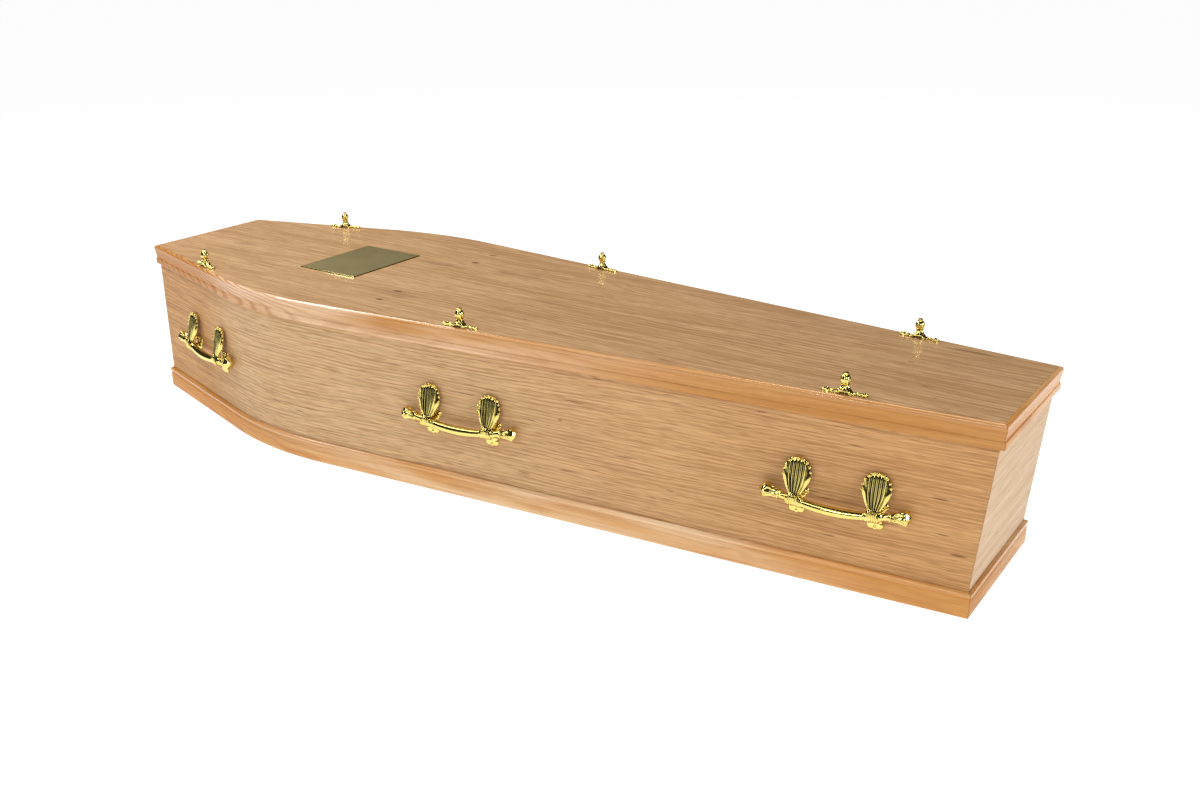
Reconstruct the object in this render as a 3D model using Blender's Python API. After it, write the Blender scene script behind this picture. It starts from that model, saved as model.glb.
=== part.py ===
"""Wooden coffin with brass furniture, in metres, +Z up.

X runs along the coffin, with the head end at -X and the foot end at +X.
The origin is on the floor, under the middle of the lid.
"""

import math

import bmesh
import bpy
from mathutils import Matrix, Vector

# Clearance between touching pieces
GAP = 0.0003

# Plan of the box, over the outside of the boards at their top edge
BODY_LENGTH = 1.914
HEAD_WIDTH = 0.2965
FOOT_WIDTH = 0.2985
SHOULDER_WIDTH = 0.584
SHOULDER_FROM_HEAD = 0.470
BEND_RADIUS = 0.690
BEND_STEPS = 8

# Heights and board thicknesses
TOTAL_HEIGHT = 0.337
LID_THICKNESS = 0.018
BOARD_THICKNESS = 0.017
BASE_THICKNESS = 0.015
FOOT_LEAN = 0.026

# Lid moulding: its greatest projection past the boards, its depth and its parts
LID_PROJECTION = 0.008
LID_MOULDING_DEPTH = 0.043
LID_ROUND = 0.004
LID_ROUND_STEPS = 3
LID_COVE_DEPTH = 0.003
LID_COVE_BEND = 0.45
LID_BEAD_TOP = 0.0285
LID_BEAD_PROUD = 0.0017
LID_BEAD_ROUND = 0.0045

# Base moulding: a bead above a flat fascia, with a small cove between them
BASE_PROJECTION = 0.007
BASE_MOULDING_HEIGHT = 0.045
BASE_BEAD_HEIGHT = 0.0105
BASE_BEAD_STEPS = 3
BASE_COVE_HEIGHT = 0.004
BASE_COVE_DEPTH = 0.0022
BASE_FASCIA_SETBACK = 0.0012
BASE_FOOT_ROUND = 0.0025

# Nameplate
PLATE_LENGTH = 0.154
PLATE_WIDTH = 0.209
PLATE_THICKNESS = 0.002
PLATE_FROM_HEAD = 0.489

# Rows of fittings along each side
FITTING_FROM_HEAD = 0.238
FITTING_FROM_FOOT = 0.254
PLACES = ("head", "middle", "foot")

# Handle: a bowed bar with a shell above each lug and a finial at each end
HANDLE_HEIGHT = 0.149
HANDLE_SHIFT = 0.0025
LUG_SPACING = 0.132
BAR_STANDOFF = 0.0175
BAR_RADIUS = 0.0072
BAR_BOW = 0.004
BAR_DROOP = 0.005
BAR_END_FALL = 0.0018
BAR_END_RISE = 0.005
BAR_STEPS = 4
BAR_SIDES = 8
BOSS_RADIUS = 0.0088
BOSS_LENGTH = 0.027
SHORT_BAR_RADIUS = 0.0066
COLLAR_OFFSET = 0.0270
COLLAR_RADIUS = 0.0092
COLLAR_LENGTH = 0.0035
FINIAL_LENGTH = 0.0225
FINIAL_NECK_RADIUS = 0.0072
FINIAL_WAIST_RADIUS = 0.0090
FINIAL_RADIUS = 0.0125
FINIAL_POINT = 0.0085
FINIAL_TIP_RADIUS = 0.0025
FINIAL_SIDES = 6

# Shell plate: it wraps the front of the boss, then leans back towards the wood as it rises
SHELL_HEIGHT = 0.071
SHELL_WIDTH = 0.047
SHELL_NECK_WIDTH = 0.025
SHELL_NECK_HEIGHT = 0.014
SHELL_WIDEST = 0.044
SHELL_THICKNESS = 0.0022
SHELL_LEAN = 0.0175
SHELL_FLUTES = 4
SHELL_FLUTE_DEPTH = 0.0016
SHELL_PROUD = 0.0012
SHELL_SUNK = 0.0022
SHELL_TOP_WIDTH = 0.012
SHELL_WRAP = math.radians(55)
SHELL_NECK_FLUTE = 0.6
SHELL_RISES = ((0.20, 0.8), (0.44, 1.0), (0.70, 1.0), (1.0, 0.3))

# Back plate behind each lug, with two petals above and two lobes below, and the stem that carries the bar
FOOT_THICKNESS = 0.0035
FOOT_LOBE_RADIUS = 0.0062
FOOT_LOBE_STEPS = 3
PETAL_SPACING = 0.025
PETAL_RISE = 0.0125
LOBE_SPACING = 0.0145
LOBE_DROP = 0.0243
FOOT_WAIST_RADIUS = 0.0085
STEM_RADIUS = 0.0055
STEM_BASE_RADIUS = 0.0085
STEM_BASE_DROP = 0.005
STEM_SIDES = 6

# Wreath holder: a raised arch with an arm each way, ending in a leaf
HOLDER_LENGTH = 0.076
HOLDER_INSET = 0.0165
ARCH_HALF_LENGTH = 0.0135
ARCH_WIDTH = 0.019
ARCH_HEIGHT = 0.0085
ARCH_CLEAR_HEIGHT = 0.0055
ARCH_CLEAR_HALF_LENGTH = 0.0095
ARM_WIDTH = 0.0055
ARM_HEIGHT = 0.0030
LEAF_WIDTH = 0.0125
LEAF_HEIGHT = 0.0045
LEAF_LENGTH = 0.0125

# Thumb screw: a shank, a skirt, a ring, a lobed bulb and a flat cap
SHANK_RADIUS = 0.0025
SHANK_BITE = 0.025
SCREW_SIDES = 8
SKIRT_RADIUS = 0.0088
SKIRT_HEIGHT = 0.0060
SCREW_NECK_RADIUS = 0.0050
RING_RADIUS = 0.0070
RING_HEIGHT = 0.0018
BULB_RADIUS = 0.0085
BULB_HEIGHT = 0.0150
BULB_STEPS = 3
CAP_RADIUS = 0.0046
CAP_HEIGHT = 0.0030

# Levels and outlines that follow from the sizes above
SIDE_TOP = TOTAL_HEIGHT - LID_THICKNESS - GAP
LID_TOP = TOTAL_HEIGHT
LID_UNDERSIDE = TOTAL_HEIGHT - LID_THICKNESS
HEAD_X = -BODY_LENGTH / 2
FOOT_X = BODY_LENGTH / 2
SHOULDER_X = HEAD_X + SHOULDER_FROM_HEAD
HEAD_SLOPE = math.atan2((SHOULDER_WIDTH - HEAD_WIDTH) / 2, SHOULDER_FROM_HEAD)
FOOT_SLOPE = math.atan2((SHOULDER_WIDTH - FOOT_WIDTH) / 2, BODY_LENGTH - SHOULDER_FROM_HEAD)
SHOULDER = Vector((SHOULDER_X, SHOULDER_WIDTH / 2))
HEAD_NORMAL = Vector((-math.sin(HEAD_SLOPE), math.cos(HEAD_SLOPE)))
FOOT_NORMAL = Vector((math.sin(FOOT_SLOPE), math.cos(FOOT_SLOPE)))
BEND_CENTRE = SHOULDER - (HEAD_NORMAL + FOOT_NORMAL) * BEND_RADIUS / (1 + HEAD_NORMAL.dot(FOOT_NORMAL))
MOULDING_BACK = 2 * GAP


def clear_scene():
    for old in list(bpy.data.objects):
        bpy.data.objects.remove(old, do_unlink=True)


def material(name, colour, roughness, metallic):
    mat = bpy.data.materials.new(name)
    mat.use_nodes = True
    shader = mat.node_tree.nodes["Principled BSDF"]
    shader.inputs["Base Color"].default_value = (*colour, 1.0)
    shader.inputs["Roughness"].default_value = roughness
    shader.inputs["Metallic"].default_value = metallic
    mat.diffuse_color = (*colour, 1.0)
    return mat


def add_object(name, bm, mat):
    """Close the bmesh into a named object with outward faces."""
    bmesh.ops.recalc_face_normals(bm, faces=bm.faces)
    mesh = bpy.data.meshes.new(name)
    bm.to_mesh(mesh)
    bm.free()
    mesh.materials.append(mat)
    obj = bpy.data.objects.new(name, mesh)
    bpy.context.scene.collection.objects.link(obj)
    return obj


def loft(bm, loops):
    """Skin a row of matching loops of points, with flat ends."""
    rings = [[bm.verts.new(point) for point in loop] for loop in loops]
    count = len(rings[0])
    for ring, following in zip(rings, rings[1:]):
        for i in range(count):
            j = (i + 1) % count
            bm.faces.new((ring[i], ring[j], following[j], following[i]))
    bm.faces.new(rings[0])
    bm.faces.new(rings[-1])


def boolean(target, tool, operation):
    """Leave a live boolean on the target; the tool is kept out of the result."""
    modifier = target.modifiers.new(operation.title(), "BOOLEAN")
    modifier.operation = operation
    modifier.object = tool
    tool.hide_render = True
    tool.display_type = "WIRE"


def foot_plane(z):
    """Outer face of the leaning foot end at height z."""
    return FOOT_X - FOOT_LEAN * (SIDE_TOP - z) / SIDE_TOP


def head_corner(offset):
    """Plan corner at the head, left side, of the outline moved out by offset."""
    x = HEAD_X - offset
    return Vector((x, SHOULDER.y + (offset - (x - SHOULDER.x) * HEAD_NORMAL.x) / HEAD_NORMAL.y))


def foot_corner(offset, plane):
    """Plan corner at the foot, left side, for a foot face that stands at x = plane."""
    x = plane + offset
    return Vector((x, SHOULDER.y + (offset - (x - SHOULDER.x) * FOOT_NORMAL.x) / FOOT_NORMAL.y))


def side_run(offset, plane):
    """Left side from head to foot: a straight run, the bend round the shoulder and a straight run."""
    start = math.atan2(HEAD_NORMAL.y, HEAD_NORMAL.x)
    end = math.atan2(FOOT_NORMAL.y, FOOT_NORMAL.x)
    radius = BEND_RADIUS + offset
    points = [head_corner(offset)]
    for i in range(BEND_STEPS + 1):
        angle = start + (end - start) * i / BEND_STEPS
        points.append(BEND_CENTRE + radius * Vector((math.cos(angle), math.sin(angle))))
    points.append(foot_corner(offset, plane))
    return points


def mirrored(points, side):
    """Left-hand points for side +1, and their mirror image for side -1."""
    return [Vector((p.x, p.y * side)) for p in points]


def side_piece(name, profile, plane_at, side, mat):
    """Carry a profile of (offset, z) points along one long side, with a hair of clearance at each mitre."""
    columns = []
    for offset, z in profile:
        run = mirrored(side_run(offset, plane_at(z)), side)
        run[0] += (run[1] - run[0]).normalized() * 2 * GAP
        run[-1] += (run[-2] - run[-1]).normalized() * 2 * GAP
        columns.append([Vector((p.x, p.y, z)) for p in run])
    loops = [[column[i] for column in columns] for i in range(len(columns[0]))]
    bm = bmesh.new()
    loft(bm, loops)
    return add_object(name, bm, mat)


def end_piece(name, profile, corner_at, mat):
    """Carry a profile of (offset, z) points across one end, from mitre to mitre."""
    corners = [(corner_at(offset, z), z) for offset, z in profile]
    loops = [[Vector((c.x, c.y * side, z)) for c, z in corners] for side in (1, -1)]
    bm = bmesh.new()
    loft(bm, loops)
    return add_object(name, bm, mat)


def slab(name, outline_at, levels, mat):
    """A flat board between two levels, whose outline may differ from one to the other."""
    bm = bmesh.new()
    loft(bm, [[Vector((p.x, p.y, z)) for p in outline_at(z)] for z in levels])
    return add_object(name, bm, mat)


def whole_outline(offset, plane):
    left = side_run(offset, plane)
    return left + list(reversed(mirrored(left, -1)))


def arc_points(centre, radius, start, end, steps):
    """Points of an arc in (offset, z), with angles in radians from the outward direction."""
    points = []
    for i in range(steps + 1):
        angle = start + (end - start) * i / steps
        points.append((centre[0] + radius * math.cos(angle), centre[1] + radius * math.sin(angle)))
    return points


def lid_moulding_profile():
    """Flat back, rounded top edge, long shallow cove, and a bead along the bottom."""
    face = LID_PROJECTION
    bottom = LID_TOP - LID_MOULDING_DEPTH
    bead_top = LID_TOP - LID_BEAD_TOP
    waist = face - LID_COVE_DEPTH
    bead = waist + LID_BEAD_PROUD
    round_centre = (face - LID_ROUND, LID_TOP - LID_ROUND)
    profile = [(MOULDING_BACK, bottom), (MOULDING_BACK, LID_TOP)]
    profile += arc_points(round_centre, LID_ROUND, math.pi / 2, 0, LID_ROUND_STEPS)
    fall = LID_TOP - LID_ROUND - bead_top
    profile.append((face - LID_COVE_BEND * LID_COVE_DEPTH, bead_top + LID_COVE_BEND * fall))
    profile.append((waist, bead_top))
    profile.append((bead, bead_top - LID_BEAD_ROUND))
    profile.append((bead, bottom + LID_BEAD_ROUND))
    profile.append((waist, bottom))
    return profile


def base_moulding_profile():
    """Bead at the top, a small cove under it, then a flat fascia down to a rounded foot."""
    top = BASE_MOULDING_HEIGHT
    bead_radius = BASE_BEAD_HEIGHT / 2
    bead_centre = (BASE_PROJECTION - bead_radius, top - bead_radius)
    cove_top = top - BASE_BEAD_HEIGHT
    fascia = BASE_PROJECTION - BASE_FASCIA_SETBACK
    profile = [(MOULDING_BACK, 0.0), (MOULDING_BACK, top)]
    profile += arc_points(bead_centre, bead_radius, math.pi / 2, -math.pi / 3, BASE_BEAD_STEPS)
    profile.append((BASE_PROJECTION - BASE_COVE_DEPTH, cove_top - BASE_COVE_HEIGHT / 2))
    profile.append((fascia, cove_top - BASE_COVE_HEIGHT))
    profile.append((fascia, BASE_FOOT_ROUND))
    profile.append((fascia - BASE_FOOT_ROUND, 0.0))
    return profile


def board_profile(bottom, top):
    return [(0.0, bottom), (0.0, top), (-BOARD_THICKNESS, top), (-BOARD_THICKNESS, bottom)]


def side_frame(x, side, height):
    """Place of a fitting on the outer face of a side at x: u along it, v out of it, w up."""
    out = HEAD_NORMAL if x < SHOULDER_X else FOOT_NORMAL
    y = SHOULDER.y - (x - SHOULDER.x) * out.x / out.y
    outward = Vector((out.x, out.y * side, 0.0))
    up = Vector((0.0, 0.0, 1.0))
    along = outward.cross(up)
    frame = Matrix((along, outward, up)).transposed().to_4x4()
    frame.translation = Vector((x, y * side, height))
    return frame


def fitting_x(index):
    """Fittings stand evenly between the first and the last, each measured from its end of the lid."""
    first = HEAD_X - LID_PROJECTION + FITTING_FROM_HEAD
    last = FOOT_X + LID_PROJECTION - FITTING_FROM_FOOT
    return first + (last - first) * index / (len(PLACES) - 1)


def rest_frame(x, side):
    """Place of a fitting on the lid, a set distance in from its moulding's outer face."""
    frame = side_frame(x, side, LID_TOP + GAP)
    inset = frame.to_3x3() @ Vector((0.0, LID_PROJECTION - HOLDER_INSET, 0.0))
    frame.translation += inset
    return frame


def bar_point(u):
    """Centre line of the handle's bar: bowed out and down between the lugs, straight beyond them."""
    half = LUG_SPACING / 2
    share = min(abs(u) / half, 1.0) ** 2
    past = max(abs(u) - half, 0.0) / half
    out = BAR_STANDOFF + BAR_BOW * (1 - share) - 2 * BAR_END_FALL * past
    return Vector((u, out, BAR_DROOP * (share - 1) + 2 * BAR_END_RISE * past))


def bar_ring(u, radius, sides, turn=0.0):
    """A ring of points round the bar, square to its centre line."""
    step = 0.001
    ahead = (bar_point(u + step) - bar_point(u - step)).normalized()
    out = (Vector((0.0, 1.0, 0.0)) - ahead * ahead.y).normalized()
    up = ahead.cross(out)
    centre = bar_point(u)
    angles = [turn + 2 * math.pi * i / sides for i in range(sides)]
    return [centre + radius * (math.cos(a) * out + math.sin(a) * up) for a in angles]


def bar_body(bm):
    """The round bar, thicker where it passes through each boss and at each collar."""
    half = LUG_SPACING / 2
    collar = half + COLLAR_OFFSET
    stations = [
        (collar + COLLAR_LENGTH / 2, COLLAR_RADIUS),
        (collar - COLLAR_LENGTH / 2, COLLAR_RADIUS),
        (collar - COLLAR_LENGTH / 2 - GAP, SHORT_BAR_RADIUS),
        (half + BOSS_LENGTH / 2, SHORT_BAR_RADIUS),
        (half + BOSS_LENGTH / 2 - GAP, BOSS_RADIUS),
        (half - BOSS_LENGTH / 2 + GAP, BOSS_RADIUS),
    ]
    inner = half - BOSS_LENGTH / 2
    stations += [(inner - 2 * inner * i / BAR_STEPS, BAR_RADIUS) for i in range(BAR_STEPS + 1)]
    stations += [(-u, radius) for u, radius in reversed(stations[:6])]
    loft(bm, [bar_ring(u, radius, BAR_SIDES) for u, radius in stations])


def finial(bm, side):
    """A six-sided flaring finial with a blunt point, one face turned to the front."""
    start = LUG_SPACING / 2 + COLLAR_OFFSET
    widest = start + COLLAR_LENGTH / 2 + FINIAL_LENGTH
    middle = (start + widest) / 2
    stations = [
        (start, FINIAL_NECK_RADIUS),
        (middle, FINIAL_WAIST_RADIUS),
        (widest, FINIAL_RADIUS),
        (widest + FINIAL_POINT, FINIAL_TIP_RADIUS),
    ]
    turn = math.pi / FINIAL_SIDES
    loft(bm, [bar_ring(side * u, radius, FINIAL_SIDES, turn) for u, radius in stations])


def shell_half_width(rise):
    """Half width of the shell at a height above the bar's centre line."""
    neck = SHELL_NECK_WIDTH / 2
    wide = SHELL_WIDTH / 2
    if rise <= SHELL_NECK_HEIGHT:
        return neck
    if rise <= SHELL_WIDEST:
        share = (rise - SHELL_NECK_HEIGHT) / (SHELL_WIDEST - SHELL_NECK_HEIGHT)
        return neck + (wide - neck) * math.sin(share * math.pi / 2)
    share = (rise - SHELL_WIDEST) / (SHELL_HEIGHT - SHELL_WIDEST)
    top = SHELL_TOP_WIDTH / 2
    return top + (wide - top) * math.sqrt(max(1 - share ** 2, 0.0))


def shell_rows():
    """Rows of the shell from under the boss to its tip: front, back, direction out, half width, flute."""
    rows = []
    front = BOSS_RADIUS + SHELL_PROUD
    back = BOSS_RADIUS - SHELL_SUNK
    for angle in (-SHELL_WRAP, 0.0):
        out = Vector((0.0, math.cos(angle), math.sin(angle)))
        axis = Vector((0.0, BAR_STANDOFF, 0.0))
        rows.append((axis + front * out, axis + back * out, out, SHELL_NECK_WIDTH / 2, SHELL_NECK_FLUTE))
    lean = Vector((0.0, SHELL_HEIGHT, SHELL_LEAN)).normalized()
    for share, flute in SHELL_RISES:
        middle = Vector((0.0, BAR_STANDOFF + front - SHELL_LEAN * share, SHELL_HEIGHT * share))
        half_width = shell_half_width(SHELL_HEIGHT * share)
        rows.append((middle, middle - SHELL_THICKNESS * lean, lean, half_width, flute))
    return rows


def shell_loops(lug):
    """Closed loops round the shell plate, fluted in front and flat behind."""
    columns = 2 * SHELL_FLUTES + 1
    loops = []
    for front, back, out, half_width, flute in shell_rows():
        loop = []
        for i in range(columns):
            across = lug + half_width * (2 * i / (columns - 1) - 1)
            ridge = flute * SHELL_FLUTE_DEPTH * (0.5 if i % 2 else -0.5)
            loop.append(front + ridge * out + Vector((across, 0.0, 0.0)))
        for edge in (half_width, -half_width):
            loop.append(back + Vector((lug + edge, 0.0, 0.0)))
        loops.append(loop)
    return loops


def foot_outline():
    """Back plate of a lug, with two petals above and two lobes below, as one closed outline in (u, w)."""
    points = []
    for turn, (across, up, waist) in enumerate((
        (PETAL_SPACING / 2, PETAL_RISE, (0.0, PETAL_RISE)),
        (-PETAL_SPACING / 2, PETAL_RISE, (-FOOT_WAIST_RADIUS, -STEM_BASE_DROP)),
        (-LOBE_SPACING / 2, -LOBE_DROP, (0.0, -LOBE_DROP)),
        (LOBE_SPACING / 2, -LOBE_DROP, (FOOT_WAIST_RADIUS, -STEM_BASE_DROP)),
    )):
        middle = Vector((across, up))
        start = (turn - 0.5) * math.pi / 2
        for i in range(FOOT_LOBE_STEPS + 1):
            angle = start + math.pi * i / FOOT_LOBE_STEPS
            points.append(middle + FOOT_LOBE_RADIUS * Vector((math.cos(angle), math.sin(angle))))
        points.append(Vector(waist))
    return points


def handle_tools(mat):
    """The handle's solids in its own frame: u along the side, v out of the wood, w up."""
    solids = []

    def solid(name, build):
        bm = bmesh.new()
        build(bm)
        solids.append(add_object(name, bm, mat))

    solid("handle_bar", bar_body)
    for side in (1, -1):
        solid("handle_finial", lambda bm: finial(bm, side))
        lug = side * LUG_SPACING / 2

        def shell(bm):
            loft(bm, shell_loops(lug))

        def foot(bm):
            outline = foot_outline()
            loft(bm, [[Vector((p.x + lug, v, p.y)) for p in outline] for v in (GAP, GAP + FOOT_THICKNESS)])

        def stem(bm):
            loops = []
            for v, radius, drop in (
                (GAP + FOOT_THICKNESS / 2, STEM_BASE_RADIUS, STEM_BASE_DROP),
                (BAR_STANDOFF, STEM_RADIUS, 0.0),
            ):
                ring = []
                for i in range(STEM_SIDES):
                    angle = 2 * math.pi * (i + 0.5) / STEM_SIDES
                    ring.append(Vector((
                        lug + radius * math.cos(angle), v, radius * math.sin(angle) - drop,
                    )))
                loops.append(ring)
            loft(bm, loops)

        solid("handle_shell", shell)
        solid("handle_foot", foot)
        solid("handle_stem", stem)
    return solids


def evaluated_mesh(obj, name):
    """A plain copy of an object's mesh as its modifiers leave it."""
    bpy.context.view_layer.update()
    graph = bpy.context.evaluated_depsgraph_get()
    mesh = bpy.data.meshes.new_from_object(obj.evaluated_get(graph))
    mesh.name = name
    return mesh


def handle_mesh(mat):
    """Join the handle's solids into the one casting that all six handles share."""
    body, *others = handle_tools(mat)
    for other in others:
        boolean(body, other, "UNION")
    mesh = evaluated_mesh(body, "handle")
    for used in (body, *others):
        bpy.data.objects.remove(used, do_unlink=True)
    return mesh


def holder_sections():
    """Half the wreath holder, from its middle to a tip: place, width, underside and height."""
    half = HOLDER_LENGTH / 2
    leaf_start = half - LEAF_LENGTH
    arm_middle = (ARCH_HALF_LENGTH + leaf_start) / 2
    clear = ARCH_CLEAR_HALF_LENGTH
    return (
        (0.5 * clear, ARCH_WIDTH, ARCH_CLEAR_HEIGHT, ARCH_HEIGHT),
        (clear, 0.72 * ARCH_WIDTH, 0.0, 0.78 * ARCH_HEIGHT),
        (ARCH_HALF_LENGTH, ARM_WIDTH, 0.0, ARM_HEIGHT),
        (arm_middle, 1.35 * ARM_WIDTH, 0.0, 1.4 * ARM_HEIGHT),
        (leaf_start, ARM_WIDTH, 0.0, ARM_HEIGHT),
        (leaf_start + 0.4 * LEAF_LENGTH, LEAF_WIDTH, 0.0, LEAF_HEIGHT),
        (leaf_start + 0.8 * LEAF_LENGTH, 0.7 * LEAF_WIDTH, 0.0, 0.8 * LEAF_HEIGHT),
        (half, 0.25 * LEAF_WIDTH, 0.0, 0.5 * LEAF_HEIGHT),
    )


def holder_mesh(mat):
    """Arms, leaves and the raised arch, bored for the thumb screw's shank."""
    half = holder_sections()
    sections = [(-x, w, low, high) for x, w, low, high in reversed(half)] + list(half)
    loops = []
    for x, width, low, high in sections:
        shoulder = low + 0.55 * (high - low)
        loops.append([
            Vector((x, -width / 2, low)), Vector((x, -width / 2, shoulder)), Vector((x, -width / 4, high)),
            Vector((x, width / 4, high)), Vector((x, width / 2, shoulder)), Vector((x, width / 2, low)),
        ])
    bm = bmesh.new()
    loft(bm, loops)
    body = add_object("holder_body", bm, mat)
    bore = turned("holder_bore", [(SHANK_RADIUS + GAP, -ARCH_HEIGHT), (SHANK_RADIUS + GAP, 2 * ARCH_HEIGHT)], mat)
    boolean(body, bore, "DIFFERENCE")
    mesh = evaluated_mesh(body, "wreath_holder")
    for used in (body, bore):
        bpy.data.objects.remove(used, do_unlink=True)
    return mesh


def turned(name, profile, mat):
    """Turn a profile of (radius, z) points about Z, with flat ends."""
    loops = []
    for radius, z in profile:
        ring = []
        for i in range(SCREW_SIDES):
            angle = 2 * math.pi * i / SCREW_SIDES
            ring.append(Vector((radius * math.cos(angle), radius * math.sin(angle), z)))
        loops.append(ring)
    bm = bmesh.new()
    loft(bm, loops)
    return add_object(name, bm, mat)


def screw_profile():
    """The thumb screw from the end of its shank to its cap, measured from the lid's top face."""
    seat = ARCH_HEIGHT + 2 * GAP
    neck = seat + SKIRT_HEIGHT
    ring_top = neck + RING_HEIGHT
    bulb_top = ring_top + BULB_HEIGHT
    profile = [
        (SHANK_RADIUS, -LID_THICKNESS - SHANK_BITE),
        (SHANK_RADIUS, seat),
        (SKIRT_RADIUS, seat),
        (SCREW_NECK_RADIUS, neck),
        (RING_RADIUS, neck + RING_HEIGHT / 2),
        (SCREW_NECK_RADIUS, ring_top),
    ]
    for i in range(1, BULB_STEPS + 1):
        share = i / (BULB_STEPS + 1)
        swell = math.sin(math.pi * share ** 0.85)
        radius = SCREW_NECK_RADIUS + (BULB_RADIUS - SCREW_NECK_RADIUS) * swell
        profile.append((radius, ring_top + share * BULB_HEIGHT))
    profile += [(CAP_RADIUS, bulb_top), (CAP_RADIUS, bulb_top + CAP_HEIGHT)]
    return profile


def bore_for_screws(target, sides, low, high, radius, mat):
    """Cut the screws' holes through one board between two levels."""
    for side in sides:
        for index in range(len(PLACES)):
            bore = turned(f"bore_{target.name}_{index}_{side}", [(radius, low), (radius, high)], mat)
            place = rest_frame(fitting_x(index), side).translation
            bore.location = (place.x, place.y, 0.0)
            boolean(target, bore, "DIFFERENCE")


def build_boards(wood):
    profile = board_profile(0.0, SIDE_TOP)
    hole = SHANK_RADIUS + GAP
    for side, word in ((1, "left"), (-1, "right")):
        board = side_piece(f"side_board_{word}", profile, foot_plane, side, wood)
        bore_for_screws(board, (side,), SIDE_TOP - SHANK_BITE - 4 * GAP, SIDE_TOP + hole, hole, wood)
    end_piece("head_end_board", profile, lambda offset, z: head_corner(offset), wood)
    end_piece("foot_end_board", profile, lambda offset, z: foot_corner(offset, foot_plane(z)), wood)
    inset = -BOARD_THICKNESS - GAP
    slab("base_board", lambda z: whole_outline(inset, foot_plane(z)), (0.0, BASE_THICKNESS), wood)
    lid = slab("lid_board", lambda z: whole_outline(GAP, FOOT_X), (LID_UNDERSIDE, LID_TOP), wood)
    bore_for_screws(lid, (1, -1), LID_UNDERSIDE - hole, LID_TOP + hole, hole, wood)


def build_mouldings(wood):
    for kind, profile, plane in (
        ("lid", lid_moulding_profile(), FOOT_X),
        ("base", base_moulding_profile(), foot_plane(BASE_MOULDING_HEIGHT)),
    ):
        for side, word in ((1, "left"), (-1, "right")):
            side_piece(f"{kind}_moulding_{word}", profile, lambda z: plane, side, wood)
        end_piece(f"{kind}_moulding_head", profile, lambda offset, z: head_corner(offset), wood)
        end_piece(f"{kind}_moulding_foot", profile, lambda offset, z: foot_corner(offset, plane), wood)


def place_copy(name, mesh, frame):
    obj = bpy.data.objects.new(name, mesh)
    obj.matrix_world = frame
    bpy.context.scene.collection.objects.link(obj)


def build_fittings(brass):
    handle = handle_mesh(brass)
    holder = holder_mesh(brass)
    screw = turned("thumb_screw", screw_profile(), brass)
    for side, word in ((1, "left"), (-1, "right")):
        for index, place in enumerate(PLACES):
            x = fitting_x(index)
            place_copy(f"handle_{word}_{place}", handle, side_frame(x + HANDLE_SHIFT, side, HANDLE_HEIGHT))
            seat = rest_frame(x, side)
            place_copy(f"wreath_holder_{word}_{place}", holder, seat)
            place_copy(f"thumb_screw_{word}_{place}", screw.data, seat)
    bpy.data.objects.remove(screw, do_unlink=True)


def build_nameplate(brass):
    middle = HEAD_X - LID_PROJECTION + PLATE_FROM_HEAD
    half_length = PLATE_LENGTH / 2
    half_width = PLATE_WIDTH / 2
    corners = [
        Vector((middle + sx * half_length, sy * half_width))
        for sx, sy in ((1, 1), (-1, 1), (-1, -1), (1, -1))
    ]
    levels = (LID_TOP + GAP, LID_TOP + GAP + PLATE_THICKNESS)
    slab("nameplate", lambda z: corners, levels, brass)


def main():
    clear_scene()
    veneer = material("oak_veneer", (0.48, 0.29, 0.14), 0.35, 0.0)
    timber = material("oak_timber", (0.50, 0.25, 0.09), 0.30, 0.0)
    brass = material("polished_brass", (0.90, 0.68, 0.22), 0.12, 1.0)
    plate = material("plate_brass", (0.36, 0.29, 0.14), 0.30, 1.0)
    build_boards(veneer)
    build_mouldings(timber)
    build_fittings(brass)
    build_nameplate(plate)


main()
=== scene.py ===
"""Looks of the wooden coffin: veneered boards, bent timber mouldings and cast brass furniture.

Everything is in metres. X runs from the head end to the foot end, and Z is up.
"""

import math

import bmesh
import bpy
from bpy.props import FloatProperty, FloatVectorProperty, IntProperty, PointerProperty
from mathutils import Matrix, Vector


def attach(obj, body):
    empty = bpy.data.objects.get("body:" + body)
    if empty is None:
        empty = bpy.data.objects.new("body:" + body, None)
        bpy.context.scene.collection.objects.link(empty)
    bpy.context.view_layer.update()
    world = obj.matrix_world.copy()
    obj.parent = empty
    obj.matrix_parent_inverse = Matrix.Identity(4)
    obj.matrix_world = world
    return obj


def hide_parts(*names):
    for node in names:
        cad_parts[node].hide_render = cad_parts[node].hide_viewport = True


bl_info = {
    "name": "Wooden Coffin",
    "version": (1, 0, 0),
    "blender": (4, 5, 0),
    "location": "View3D > Sidebar > Coffin",
    "description": "Builds the boards, mouldings and brass furniture of a wooden coffin",
    "category": "Object",
}

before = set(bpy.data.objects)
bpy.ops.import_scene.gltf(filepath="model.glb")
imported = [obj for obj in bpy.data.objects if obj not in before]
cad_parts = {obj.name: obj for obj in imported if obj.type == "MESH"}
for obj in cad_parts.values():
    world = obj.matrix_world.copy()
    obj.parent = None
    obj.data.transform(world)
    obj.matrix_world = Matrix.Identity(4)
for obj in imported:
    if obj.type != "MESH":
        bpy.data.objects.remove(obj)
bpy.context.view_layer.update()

# Clearance between pieces that would touch
GAP = 0.0003
BODY = "root"
PLACES = ("head", "middle", "foot")
SIDES = ((1, "left"), (-1, "right"))

# Vertex attribute for the painted shade in the brass's grooves, standing in for shade and dark reflections
# there, partly patina
GROOVE_SHADE = "hollow"

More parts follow.
